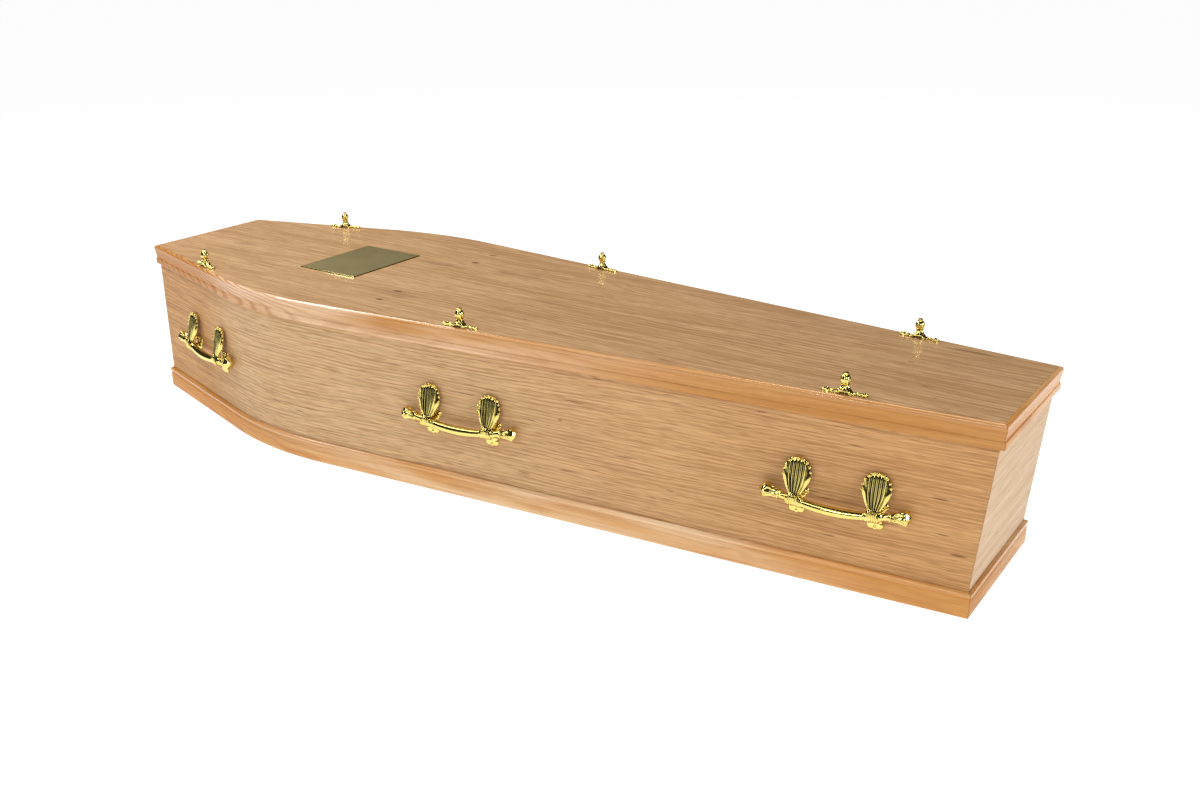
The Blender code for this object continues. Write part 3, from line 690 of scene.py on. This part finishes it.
def base_profile(sizes):
    """Bead at the top, a small cove under it, then a flat face down to a rounded foot."""
    top = sizes.base_height
    radius = sizes.base_bead / 2
    face = sizes.base_projection
    flat = face - sizes.base_setback
    cove_top = top - sizes.base_bead
    profile = [(2 * GAP, 0.0), (2 * GAP, top)]
    profile += arc((face - radius, top - radius), radius, 90, -62, 9)
    deepest = face - sizes.base_cove_depth
    profile.append((deepest, cove_top - 0.0006))
    profile.append((deepest - 0.0003, cove_top - 0.5 * sizes.base_cove))
    profile.append((deepest + 0.0004, cove_top - 0.85 * sizes.base_cove))
    profile.append((flat - 0.0003, cove_top - sizes.base_cove))
    profile.append((flat, cove_top - sizes.base_cove - 0.0004))
    foot_radius = 0.0025
    profile += arc((flat - foot_radius, foot_radius), foot_radius, 0, -90, 4)
    return profile


def side_strip(name, plan, profile, plane_at, side, material):
    """Carry a profile of (offset, z) points along one long side."""
    columns = []
    for offset, z in profile:
        run = plan.side_run(offset, plane_at(z))
        run = [Vector((point.x, point.y * side)) for point in run]
        run[0] += (run[1] - run[0]).normalized() * 2 * GAP
        run[-1] += (run[-2] - run[-1]).normalized() * 2 * GAP
        columns.append([Vector((point.x, point.y, z)) for point in run])
    bm = bmesh.new()
    loft(bm, [[column[i] for column in columns] for i in range(len(columns[0]))])
    return mesh_from(name, bm, material)


def end_strip(name, profile, corner_at, material):
    """Carry a profile of (offset, z) points across one end, from mitre to mitre."""
    loops = []
    for side in (1, -1):
        corners = [(corner_at(offset), z) for offset, z in profile]
        loops.append([Vector((corner.x, corner.y * side, z)) for corner, z in corners])
    bm = bmesh.new()
    loft(bm, loops)
    return mesh_from(name, bm, material)


class Casting:
    """The handle in its own frame: u along the side, v out of the wood, w up."""

    # Top of the shell's neck, height where it is widest, and half its width at the tip
    neck_height = 0.014
    widest = 0.044
    tip_half = 0.006
    # Shares of the half width: from rib to rib, and where the ribs end and the leaf starts
    rib_pitch = 0.25
    leaf_start = 0.625

    def __init__(self, sizes):
        self.sizes = sizes
        self.half = sizes.lug_spacing / 2
        self.bm = bmesh.new()
        # Layer that holds the painted shade in the grooves
        self.hollow = self.bm.verts.layers.float.new(GROOVE_SHADE)

    def bar_point(self, u):
        sizes = self.sizes
        share = min(abs(u) / self.half, 1.0) ** 2
        past = max(abs(u) - self.half, 0.0) / self.half
        out = sizes.standoff + sizes.bow * (1 - share) - 2 * sizes.end_fall * past
        return Vector((u, out, sizes.droop * (share - 1) + 2 * sizes.end_rise * past))

    def ring(self, u, radii):
        """Points round the bar at u, with one radius for each turn from the front."""
        step = 0.001
        ahead = (self.bar_point(u + step) - self.bar_point(u - step)).normalized()
        out = (Vector((0.0, 1.0, 0.0)) - ahead * ahead.y).normalized()
        up = ahead.cross(out)
        centre = self.bar_point(u)
        points = []
        for i, radius in enumerate(radii):
            turn = 2 * math.pi * i / len(radii)
            points.append(centre + radius * (math.cos(turn) * out + math.sin(turn) * up))
        return points

    def bar(self):
        """The grip, with a swelling boss at each lug and a turned collar at each end."""
        sizes = self.sizes
        half, boss = self.half, sizes.boss_length / 2
        collar = half + sizes.collar_offset
        outer = [
            (collar + 0.0024, sizes.collar_radius * 0.70),
            (collar + 0.0017, sizes.collar_radius * 0.92),
            (collar + 0.0008, sizes.collar_radius),
            (collar - 0.0008, sizes.collar_radius),
            (collar - 0.0017, sizes.collar_radius * 0.92),
            (collar - 0.0022, sizes.short_radius * 1.02),
            (collar - 0.0030, sizes.short_radius),
            (half + boss + 0.0022, sizes.short_radius),
            (half + boss + 0.0008, sizes.short_radius * 1.08),
            (half + boss, sizes.boss_radius * 0.93),
            (half + boss - 0.0012, sizes.boss_radius),
            (half + 0.004, sizes.boss_radius),
            (half - 0.004, sizes.boss_radius),
            (half - boss + 0.0012, sizes.boss_radius),
            (half - boss, sizes.boss_radius * 0.93),
            (half - boss - 0.0008, sizes.bar_radius * 1.02),
        ]
        inner = half - boss - 0.0025
        steps = 26
        grip = []
        for i in range(steps + 1):
            swell = sizes.grip_swell * math.sin(math.pi * i / steps)
            grip.append((inner - 2 * inner * i / steps, sizes.bar_radius + swell))
        stations = outer + grip + [(-u, radius) for u, radius in reversed(outer)]
        sides = 24
        loft(self.bm, [self.ring(u, [radius] * sides) for u, radius in stations])

    def finial(self, side):
        """A six-sided flaring finial, hollowed on each face, with a blunt point."""
        sizes = self.sizes
        start = self.half + sizes.collar_offset
        half_collar = 0.00175
        widest = start + half_collar + sizes.finial_length
        sixth = math.pi / 6
        turns = 48
        rows = []
        steps = 18
        for i in range(steps + 1):
            share = i / steps
            radius = blended(((0.0, 0.0074), (0.35, 0.0086), (1.0, sizes.finial_radius)), share)
            rows.append((start + (widest - start) * share, radius, share))
        rows.append((widest + 0.0012, sizes.finial_radius * 0.985, None))
        rows.append((widest + 0.0060, sizes.finial_radius * 0.56, None))
        rows.append((widest + sizes.finial_point - 0.0006, sizes.finial_radius * 0.28, None))
        rows.append((widest + sizes.finial_point, sizes.finial_radius * 0.16, None))
        loops = []
        for u, radius, share in rows:
            radii = []
            for i in range(turns):
                turn = 2 * math.pi * i / turns
                away = turn % (2 * sixth) - sixth
                edge = min(radius * math.cos(sixth) / math.cos(away), radius * 0.985)
                if share is not None:
                    swell = max((share - 0.12) / 0.80, 0.0)
                    width = 0.66 * math.sin(math.pi * min(swell, 1.0) ** 1.7) ** 0.7
                    inside = smooth_step((width - abs(away) / sixth) / 0.22)
                    edge -= sizes.finial_recess * inside
                radii.append(edge)
            loops.append(self.ring(side * u, radii))
        loft(self.bm, loops)

    def shell_half_width(self, rise):
        sizes = self.sizes
        neck = sizes.shell_neck / 2
        wide = sizes.shell_width / 2
        if rise <= self.neck_height:
            return neck * (1 - 0.12 * math.sin(math.pi * max(rise, 0.0) / self.neck_height))
        if rise <= self.widest:
            share = (rise - self.neck_height) / (self.widest - self.neck_height)
            return neck + (wide - neck) * math.sin(share * math.pi / 2)
        share = (rise - self.widest) / (sizes.shell_height - self.widest)
        return self.tip_half + (wide - self.tip_half) * math.sqrt(max(1 - share ** 2, 0.0))

    def shell_relief(self, across, rise):
        """Height of the shell's front: five ribs in the middle and a leaf on each side."""
        place = abs(across)
        share = rise / self.sizes.shell_height
        strength = smooth_step((share + 0.02) / 0.16) * (1 - 0.55 * smooth_step((share - 0.86) / 0.14))
        neck = 0.55 * abs(math.sin(math.pi * (across * 3.0 + 0.5))) ** 0.7 if share < 0.16 else 0.0
        if place < self.leaf_start:
            relief = abs(math.cos(math.pi * across / self.rib_pitch)) ** 0.75
        else:
            leaf = min((place - self.leaf_start) / (1 - self.leaf_start), 1.0)
            relief = 0.80 * math.sin(math.pi / 2 * min(leaf / 0.30, 1.0)) - 0.55 * leaf ** 2
            relief -= 0.16 * (1 + math.cos(2 * math.pi * (3.2 * share - 0.5 * leaf))) * leaf
        return self.sizes.rib_depth * (neck * (1 - strength) + relief * strength - 0.35)

    def shell_groove_shade(self, across, rise):
        """How much painted shade the shell gets: near 1 in the grooves between the ribs, and 0 on their
        crests.
        """
        share = rise / self.sizes.shell_height
        rib = abs(math.cos(math.pi * (across - 0.012) / self.rib_pitch))
        groove = smooth_step((0.80 - rib) / 0.55) * smooth_step((0.60 - abs(across)) / 0.14)
        rising = smooth_step((share - 0.06) / 0.10)
        return 0.86 * groove * rising * (1 - 0.7 * smooth_step((share - 0.82) / 0.14))

    def shell(self, lug):
        """A fluted shell that wraps the boss and leans back as it rises."""
        sizes = self.sizes
        axis = Vector((0.0, sizes.standoff, 0.0))
        front = sizes.boss_radius + 0.0010
        lean = Vector((0.0, sizes.shell_height, sizes.shell_lean)).normalized()
        rows = []
        wrap, wrap_steps = 62, 6
        for i in range(wrap_steps + 1):
            turn = math.radians(wrap * i / wrap_steps - wrap)
            out = Vector((0.0, math.cos(turn), math.sin(turn)))
            rows.append((axis + front * out, axis + (front - 0.0032) * out, out, 0.0))
        steps = 44
        for i in range(1, steps + 1):
            share = (i / steps) ** 0.92
            rise = sizes.shell_height * share
            back = sizes.shell_step * smooth_step((rise - 0.006) / 0.008)
            middle = Vector((0.0, sizes.standoff + front - sizes.shell_lean * share - back, rise))
            rows.append((middle, middle - sizes.shell_thickness * lean, lean, rise))
        columns, back_columns = 120, 8
        scallops, scallop_depth = 5.0, 0.0011
        loops = []
        hollows = []
        for middle, back, out, rise in rows:
            share = rise / sizes.shell_height
            half = self.shell_half_width(rise)
            scallop = scallop_depth * abs(math.sin(math.pi * scallops * share))
            half += scallop * smooth_step((share - 0.30) / 0.2) - scallop_depth
            camber = sizes.shell_camber * smooth_step(share / 0.4)
            loop = []
            hollow = []
            for i in range(columns + 1):
                across = 2 * i / columns - 1
                fan = across * half / self.shell_half_width(min(rise, self.widest))
                relief = self.shell_relief(fan, rise) - camber * across ** 2
                hollow.append(self.shell_groove_shade(fan, rise))
                loop.append(middle + relief * out + Vector((lug + across * half, 0.0, 0.0)))
            for i in range(back_columns, -1, -1):
                across = 2 * i / back_columns - 1
                place = Vector((lug + across * half * 0.985, 0.0, 0.0))
                loop.append(back - camber * across ** 2 * out + place)
            loops.append(loop)
            hollows.append(hollow)
        # Store the painted groove shade on each point of the shell's front
        for ring, hollow in zip(loft(self.bm, loops), hollows):
            for vert, depth in zip(ring, hollow):
                vert[self.hollow] = depth
        self.shell_balls(lug, front)

    def shell_balls(self, lug, front):
        """A ball at the tip, with smaller ones down both edges."""
        sizes = self.sizes
        size = sizes.ball_radius
        for share, across, scale in RIM_BALLS:
            rise = sizes.shell_height * share
            half = self.shell_half_width(rise)
            back = sizes.shell_lean * share + sizes.shell_step + sizes.shell_camber * across ** 2
            v = sizes.standoff + front - back + 0.2 * size
            radius = size * scale
            for turn in ((1, -1) if across else (1,)):
                ball(self.bm, (lug + turn * across * half, v, rise), (radius, radius * 0.9, radius))

    def back_plate(self, lug):
        """The plate on the wood: two petals above, two round lobes below, and the stem between."""
        floor = (1, GAP)
        for turn, forms in ((1, PETALS), (-1, PETALS), (1, PLATE_MIDDLE)):
            for (u, v, w), radii, segments, rings in forms:
                ball(self.bm, (lug + turn * u, GAP + v, w), radii, floor, segments, rings)
        sides = 20
        loops = []
        for v, radius, drop in (
            (0.0020, 0.0092, 0.0060), (0.0045, 0.0072, 0.0045), (0.0080, 0.0060, 0.0025),
            (self.sizes.standoff, 0.0058, 0.0),
        ):
            ring = []
            for i in range(sides):
                turn = 2 * math.pi * i / sides
                ring.append(Vector((lug + radius * math.cos(turn), v, radius * math.sin(turn) - drop)))
            loops.append(ring)
        loft(self.bm, loops)

    def build(self, material):
        self.bar()
        for side in (1, -1):
            self.finial(side)
            self.shell(side * self.half)
            self.back_plate(side * self.half)
        return mesh_from("handle_casting", self.bm, material, crease=48.0)


def holder_casting(sizes, material):
    """Wreath holder: a raised middle with an opening under it, and an S-shaped leafy arm each way."""
    half = sizes.holder_length / 2
    widths = (
        (0.0, sizes.arch_width), (0.0085, 0.80 * sizes.arch_width), (0.0130, 1.25 * sizes.arm_width),
        (0.0160, 0.95 * sizes.arm_width), (0.0205, 1.45 * sizes.arm_width), (0.0255, sizes.arm_width),
        (0.0300, 0.98 * sizes.leaf_width), (0.0325, 0.62 * sizes.leaf_width),
        (0.0350, 0.72 * sizes.leaf_width), (half, 0.16 * sizes.leaf_width),
    )
    tops = (
        (0.0, sizes.arch_height), (0.0075, 0.90 * sizes.arch_height), (0.0130, 1.20 * sizes.arm_height),
        (0.0160, sizes.arm_height), (0.0205, 1.55 * sizes.arm_height), (0.0255, sizes.arm_height),
        (0.0300, sizes.leaf_height), (0.0350, 0.78 * sizes.leaf_height),
        (half, 0.30 * sizes.leaf_height),
    )
    lows = ((0.0, sizes.clear_height), (0.0060, 0.86 * sizes.clear_height), (0.0105, 0.0), (half, 0.0))
    sections, facets = 84, 12
    loops = []
    for i in range(sections + 1):
        x = half * (2 * i / sections - 1)
        place = abs(x)
        width, top, low = blended(widths, place), blended(tops, place), blended(lows, place)
        swing = min(max(place - 0.012, 0.0) / 0.022, 1.0)
        sway = math.copysign(sizes.arm_sway * math.sin(math.pi * swing * 2), x)
        shoulder = low + 0.42 * (top - low)
        loop = [Vector((x, sway - width / 2, low))]
        for j in range(facets + 1):
            turn = math.pi * (1 - j / facets)
            y = sway + width / 2 * math.cos(turn)
            loop.append(Vector((x, y, shoulder + (top - shoulder) * math.sin(turn) ** 0.8)))
        loop.append(Vector((x, sway + width / 2, low)))
        loops.append(loop)
    bm = bmesh.new()
    loft(bm, loops)
    floor = (2, 0.0)
    for turn in (1, -1):
        for side in (1, -1):
            ball(bm, (turn * 0.0125, side * 0.0052, 0.0022), (0.0021, 0.0021, 0.0021), floor)
            ball(bm, (turn * 0.0300, side * 0.0044, 0.0026), (0.0025, 0.0025, 0.0022), floor)
        ball(bm, (turn * 0.0352, 0.0, 0.0028), (0.0026, 0.0028, 0.0022), floor)
        ball(bm, (turn * 0.0205, 0.0, 0.0036), (0.0034, 0.0024, 0.0018), floor)
    return mesh_from("wreath_holder_casting", bm, material, crease=50.0)


def screw_casting(sizes, seat, underside, material):
    """Thumb screw: a crown, a thin ring, a lobed bulb and a flat cap on a hidden shank."""
    neck = seat + sizes.skirt_height
    ring_top = neck + sizes.ring_height
    bulb_top = ring_top + sizes.bulb_height
    crown_lobe, bulb_lobe = 0.22, 0.13
    profile = [(sizes.shank_radius, underside - sizes.shank_bite, 0.0), (sizes.shank_radius, seat, 0.0)]
    steps = 8
    for i in range(steps + 1):
        share = i / steps
        radius = sizes.skirt_radius + (sizes.neck_radius - sizes.skirt_radius) * share ** 0.8
        lobe = crown_lobe * math.sin(math.pi * (0.25 + 0.7 * share))
        profile.append((radius, seat + sizes.skirt_height * share, lobe))
    middle = neck + sizes.ring_height / 2
    profile += [
        (0.90 * sizes.ring_radius, middle - 0.30 * sizes.ring_height, 0.0),
        (sizes.ring_radius, middle, 0.0),
        (0.90 * sizes.ring_radius, middle + 0.30 * sizes.ring_height, 0.0),
    ]
    steps = 18
    for i in range(steps + 1):
        share = i / steps
        swell = math.sin(math.pi * share ** 0.85) ** 0.85 if 0 < share < 1 else 0.0
        radius = sizes.neck_radius + (sizes.bulb_radius - sizes.neck_radius) * swell
        profile.append((radius, ring_top + sizes.bulb_height * share, bulb_lobe * swell))
    cap = bulb_top + sizes.cap_height
    profile += [
        (0.80 * sizes.cap_radius, bulb_top + 0.0003, 0.0), (0.80 * sizes.cap_radius, cap - 0.0016, 0.0),
        (sizes.cap_radius, cap - 0.0012, 0.0), (sizes.cap_radius, cap - 0.0003, 0.0),
        (0.92 * sizes.cap_radius, cap, 0.0),
    ]
    points_to_a_lobe = 12
    turns = points_to_a_lobe * sizes.lobes
    loops = []
    for radius, z, lobe in profile:
        ring = []
        for i in range(turns):
            turn = 2 * math.pi * i / turns
            edge = radius * (1 - lobe * (1 - abs(math.cos(turn * sizes.lobes / 2)) ** 0.8))
            ring.append(Vector((edge * math.cos(turn), edge * math.sin(turn), z)))
        loops.append(ring)
    bm = bmesh.new()
    loft(bm, loops)
    return mesh_from("thumb_screw_casting", bm, material, crease=50.0)


def nameplate_sheet(sizes, middle, level, material):
    """A plain sheet with rounded corners and a bevelled edge."""
    bm = bmesh.new()
    corner_steps = 4
    loops = []
    for inset, z in (
        (0.0, level), (0.0, level + 0.20 * sizes.thickness),
        (0.80 * sizes.bevel, level + 0.92 * sizes.thickness), (sizes.bevel, level + sizes.thickness),
        (0.4 * sizes.plate_length, level + sizes.thickness),
    ):
        half_x = sizes.plate_length / 2 - inset
        half_y = sizes.plate_width / 2 - inset
        radius = max(sizes.corner - inset, 0.0004)
        loop = []
        for quarter, (sx, sy) in enumerate(((1, 1), (-1, 1), (-1, -1), (1, -1))):
            for i in range(corner_steps + 1):
                turn = math.radians(90 * quarter + 90 * i / corner_steps)
                loop.append(Vector((
                    middle + sx * (half_x - radius) + radius * math.cos(turn),
                    sy * (half_y - radius) + radius * math.sin(turn), z,
                )))
        loops.append(loop)
    loft(bm, loops)
    return mesh_from("nameplate_sheet", bm, material, crease=10.0)


def finish_material(name, build):
    """One finish is made once and shared."""
    existing = bpy.data.materials.get(name)
    return existing if existing else build()


def veneer_of(settings, board):
    """The veneer of the sides, of the lid and the base, or of the ends."""
    tones = settings.finishes
    letters, tone, dark, roughness, coat, spread, contrast, marks, bend_sheen = {
        "side": ("XZ", tones.side_tone, tones.side_dark, tones.side_gloss, 0.0, 290.0, 1.15, SIDE_MARKS, 0.9),
        "lid": ("XY", tones.lid_tone, tones.lid_dark, tones.lid_gloss, 0.5, 170.0, 1.3, LID_MARKS, 0.0),
        # Ends: paler tones that carry painted light
        "end": ("YZ", tones.lit_end_tone, tones.lit_end_dark, tones.side_gloss, 0.0, 260.0, 1.0, (), 0.0),
    }[board]
    name = f"{board}_veneer"
    palette = tuple(tone), tuple(dark), tuple(tones.mark)
    return finish_material(name, lambda: veneer(
        name, letters, palette, roughness, coat, spread, contrast, marks, bend_sheen,
    ))


def timber_of(settings, letters, middle):
    """The solid timber of a moulding that runs along X or along Y."""
    tones = settings.finishes
    upper = middle > settings.mouldings.base_height
    lengthwise = letters[0] == "X"
    # Painted light: the long base mouldings are a 1.22 times brighter copy of the timber, and the end
    # mouldings a 1.06 times brighter one
    light_lift = (1.0 if upper else 1.22) if lengthwise else 1.06
    # The end mouldings get half the painted sheen
    pale = tuple(tones.timber_sheen)
    if not lengthwise:
        pale = tuple((first + second) / 2 for first, second in zip(tones.timber_tone, pale))
    palette = [
        tuple(min(channel * light_lift, 1.0) for channel in tone)
        for tone in (tones.timber_tone, pale, tones.timber_dark)
    ]
    palette.append(tuple(tones.mark))
    name = f"timber_{letters.lower()}_{round(middle * 1000)}"
    start = -settings.boards.body_length / 2 if lengthwise else -0.3
    figure = 1.0 if lengthwise and upper else 0.15
    coat = 0.12 if upper else 0.06
    sheen_span = (0.18, 0.40, 0.80, 1.48) if upper or not lengthwise else (0.30, 1.10, 1.20, 1.80)
    return finish_material(name, lambda: timber(name, letters, start, middle, palette, figure, coat, sheen_span))


def brass_of(settings):
    tones = settings.finishes
    return finish_material("cast_brass", lambda: cast_brass(
        "cast_brass", tuple(tones.brass), tuple(tones.recess), tones.brass_gloss,
    ))


class COFFIN_OT_side_boards(bpy.types.Operator):
    """Build the two long side boards, each bent round at the shoulder"""

    bl_idname = "coffin.side_boards"
    bl_label = "Side boards"

    def execute(self, context):
        settings = context.scene.coffin
        plan = Plan(settings)
        depth = settings.boards.board_thickness
        profile = [(0.0, 0.0), (0.0, plan.side_top), (-depth, plan.side_top), (-depth, 0.0)]
        material = veneer_of(settings, "side")
        for side, word in SIDES:
            mesh = side_strip(f"side_board_{word}_mesh", plan, profile, plan.foot_plane, side, material)
            place_piece(f"side_board_{word}", mesh, Matrix.Identity(4))
        return {"FINISHED"}


class COFFIN_OT_flat_boards(bpy.types.Operator):
    """Veneer the lid, the ends and the base, whose shapes stay as they are"""

    bl_idname = "coffin.flat_boards"
    bl_label = "Flat boards"

    def execute(self, context):
        settings = context.scene.coffin
        for node, board in (
            ("lid_board", "lid"), ("base_board", "lid"), ("head_end_board", "end"), ("foot_end_board", "end"),
        ):
            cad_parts[node].material_slots[0].material = veneer_of(settings, board)
        return {"FINISHED"}


class COFFIN_OT_mouldings(bpy.types.Operator):
    """Build the lid and base mouldings on the sides and the ends"""

    bl_idname = "coffin.mouldings"
    bl_label = "Mouldings"

    def execute(self, context):
        settings = context.scene.coffin
        plan = Plan(settings)
        sizes = settings.mouldings
        height = settings.boards.height
        for kind, profile, plane, middle in (
            ("lid", lid_profile(sizes, height), plan.foot_x, height - sizes.lid_depth / 2),
            ("base", base_profile(sizes), plan.foot_plane(sizes.base_height), sizes.base_height / 2),
        ):
            material = timber_of(settings, "XZ", middle)
            for side, word in SIDES:
                node = f"{kind}_moulding_{word}"
                mesh = side_strip(f"{node}_mesh", plan, profile, lambda z: plane, side, material)
                place_piece(node, mesh, Matrix.Identity(4))
            material = timber_of(settings, "YZ", middle)
            for word, corner_at in (
                ("head", plan.head_corner), ("foot", lambda offset: plan.foot_corner(offset, plane)),
            ):
                node = f"{kind}_moulding_{word}"
                mesh = end_strip(f"{node}_mesh", profile, corner_at, material)
                place_piece(node, mesh, Matrix.Identity(4))
        return {"FINISHED"}


class COFFIN_OT_handles(bpy.types.Operator):
    """Build the six cast handles along the sides"""

    bl_idname = "coffin.handles"
    bl_label = "Handles"

    def execute(self, context):
        settings = context.scene.coffin
        plan = Plan(settings)
        mesh = Casting(settings.handle).build(brass_of(settings))
        for side, word in SIDES:
            for index, spot in enumerate(PLACES):
                x = plan.fitting_x(index) + settings.places.handle_shift
                place = plan.side_frame(x, side, settings.places.handle_height)
                place_piece(f"handle_{word}_{spot}", mesh, place)
        return {"FINISHED"}


class COFFIN_OT_wreath_holders(bpy.types.Operator):
    """Build the six wreath holders along the lid"""

    bl_idname = "coffin.wreath_holders"
    bl_label = "Wreath holders"

    def execute(self, context):
        settings = context.scene.coffin
        plan = Plan(settings)
        mesh = holder_casting(settings.holder, brass_of(settings))
        for side, word in SIDES:
            for index, spot in enumerate(PLACES):
                place = plan.lid_frame(plan.fitting_x(index), side)
                place_piece(f"wreath_holder_{word}_{spot}", mesh, place)
        return {"FINISHED"}


class COFFIN_OT_thumb_screws(bpy.types.Operator):
    """Build the six thumb screws that hold the lid down"""

    bl_idname = "coffin.thumb_screws"
    bl_label = "Thumb screws"

    def execute(self, context):
        settings = context.scene.coffin
        plan = Plan(settings)
        seat = settings.holder.arch_height + 2 * GAP
        mesh = screw_casting(settings.screw, seat, -settings.boards.lid_thickness, brass_of(settings))
        for side, word in SIDES:
            for index, spot in enumerate(PLACES):
                place = plan.lid_frame(plan.fitting_x(index), side)
                place_piece(f"thumb_screw_{word}_{spot}", mesh, place)
        return {"FINISHED"}


class COFFIN_OT_nameplate(bpy.types.Operator):
    """Build the plain nameplate on the lid"""

    bl_idname = "coffin.nameplate"
    bl_label = "Nameplate"

    def execute(self, context):
        settings = context.scene.coffin
        sizes = settings.plate
        middle = Plan(settings).head_x - settings.mouldings.lid_projection + sizes.from_head
        finishes = settings.finishes
        height = settings.boards.height + GAP + sizes.thickness
        material = finish_material("plate_brass_sheet", lambda: plate_brass(
            "plate_brass_sheet", tuple(finishes.plate), tuple(finishes.brass), height,
        ))
        mesh = nameplate_sheet(sizes, middle, settings.boards.height + GAP, material)
        place_piece("nameplate", mesh, Matrix.Identity(4))
        return {"FINISHED"}


class COFFIN_OT_stage(bpy.types.Operator):
    """Set the floor, the soft lights and the camera"""

    bl_idname = "coffin.stage"
    bl_label = "Stage"

    def execute(self, context):
        studio = context.scene.coffin.studio
        self.lay_floor(studio)
        self.hang_lights()
        self.set_camera(context.scene, studio)
        context.scene.world = self.paint_surroundings(studio)
        context.scene.view_settings.view_transform = "Standard"
        return {"FINISHED"}

    def paint_surroundings(self, studio):
        """A dim room that shows as a pale wall behind the coffin."""
        world = bpy.data.worlds.new("studio")
        world.use_nodes = True
        tree = world.node_tree
        room = tree.nodes["Background"]
        wall = tree.nodes.new("ShaderNodeBackground")
        for background, strength in ((room, studio.world_glow), (wall, studio.wall_glow)):
            background.inputs["Color"].default_value = (1.0, 1.0, 1.0, 1.0)
            background.inputs["Strength"].default_value = strength
        choice = tree.nodes.new("ShaderNodeMixShader")
        tree.links.new(tree.nodes.new("ShaderNodeLightPath").outputs["Is Camera Ray"], choice.inputs[0])
        tree.links.new(room.outputs[0], choice.inputs[1])
        tree.links.new(wall.outputs[0], choice.inputs[2])
        tree.links.new(choice.outputs[0], tree.nodes["World Output"].inputs["Surface"])
        return world

    def lay_floor(self, studio):
        half = studio.floor_size
        mesh = bpy.data.meshes.new("floor")
        corners = [(-half, -half, 0), (half, -half, 0), (half, half, 0), (-half, half, 0)]
        mesh.from_pydata(corners, [], [(0, 1, 2, 3)])
        shade = Shade("floor_paper")
        soft = shade.grain(shade.axes(), (0.4, 0.4, 0.4))
        tone = tuple(studio.floor_tone)
        shade.surface("Base Color", shade.mix(soft, tone, tuple(0.99 * channel for channel in tone)))
        shade.surface("Roughness", 0.8)
        shade.surface("Specular IOR Level", 0.1)
        shade.surface("Emission Color", (1.0, 1.0, 1.0))
        shade.surface("Emission Strength", studio.floor_glow)
        mesh.materials.append(shade.material)
        floor = bpy.data.objects.new("floor", mesh)
        bpy.context.scene.collection.objects.link(floor)

    def hang_lights(self):
        for name, place, target, width, height, power in LAMPS:
            lamp = bpy.data.lights.new(name, "AREA")
            lamp.shape = "RECTANGLE"
            lamp.size = width
            lamp.size_y = height
            lamp.energy = power
            stand = bpy.data.objects.new(name, lamp)
            stand.location = place
            stand.rotation_euler = (Vector(target) - Vector(place)).to_track_quat("-Z", "Y").to_euler()
            bpy.context.scene.collection.objects.link(stand)

    def set_camera(self, scene, studio):
        yaw, pitch, roll = studio.yaw, studio.pitch, studio.roll
        forward = Vector((math.cos(pitch) * math.cos(yaw), math.cos(pitch) * math.sin(yaw), -math.sin(pitch)))
        right = Vector((math.sin(yaw), -math.cos(yaw), 0.0))
        up = right.cross(forward)
        level = right
        right = math.cos(roll) * right + math.sin(roll) * up
        up = math.cos(roll) * up - math.sin(roll) * level
        data = bpy.data.cameras.new("camera")
        data.lens = studio.lens
        data.sensor_width = 36.0
        data.clip_end = 200.0
        camera = bpy.data.objects.new("camera", data)
        turn = Matrix((right, up, -forward)).transposed().to_4x4()
        turn.translation = Vector(studio.camera_place)
        camera.matrix_world = turn
        scene.collection.objects.link(camera)
        scene.camera = camera


OPERATORS = (
    COFFIN_OT_side_boards, COFFIN_OT_flat_boards, COFFIN_OT_mouldings, COFFIN_OT_handles,
    COFFIN_OT_wreath_holders, COFFIN_OT_thumb_screws, COFFIN_OT_nameplate, COFFIN_OT_stage,
)


class COFFIN_PT_panel(bpy.types.Panel):
    """The coffin's pieces in the order they are made"""

    bl_idname = "COFFIN_PT_panel"
    bl_label = "Wooden coffin"
    bl_space_type = "VIEW_3D"
    bl_region_type = "UI"
    bl_category = "Coffin"

    def draw(self, context):
        layout = self.layout
        for operator in OPERATORS:
            layout.operator(operator.bl_idname)
        for name in CoffinSettings.__annotations__:
            group = getattr(context.scene.coffin, name)
            box = layout.box()
            box.label(text=name.replace("_", " ").capitalize())
            for field in group.bl_rna.properties:
                if field.identifier not in ("rna_type", "name"):
                    box.prop(group, field.identifier)


CLASSES = (
    BoardSizes, MouldingSizes, FittingPlaces, HandleSizes, HolderSizes, ScrewSizes, PlateSizes, Finishes,
    Studio, CoffinSettings, *OPERATORS, COFFIN_PT_panel,
)


def register():
    for cls in CLASSES:
        bpy.utils.register_class(cls)
    bpy.types.Scene.coffin = PointerProperty(type=CoffinSettings)


def unregister():
    del bpy.types.Scene.coffin
    for cls in reversed(CLASSES):
        bpy.utils.unregister_class(cls)


def main():
    register()
    for operator in OPERATORS:
        group, name = operator.bl_idname.split(".")
        getattr(getattr(bpy.ops, group), name)()


if __name__ == "__main__":
    main()
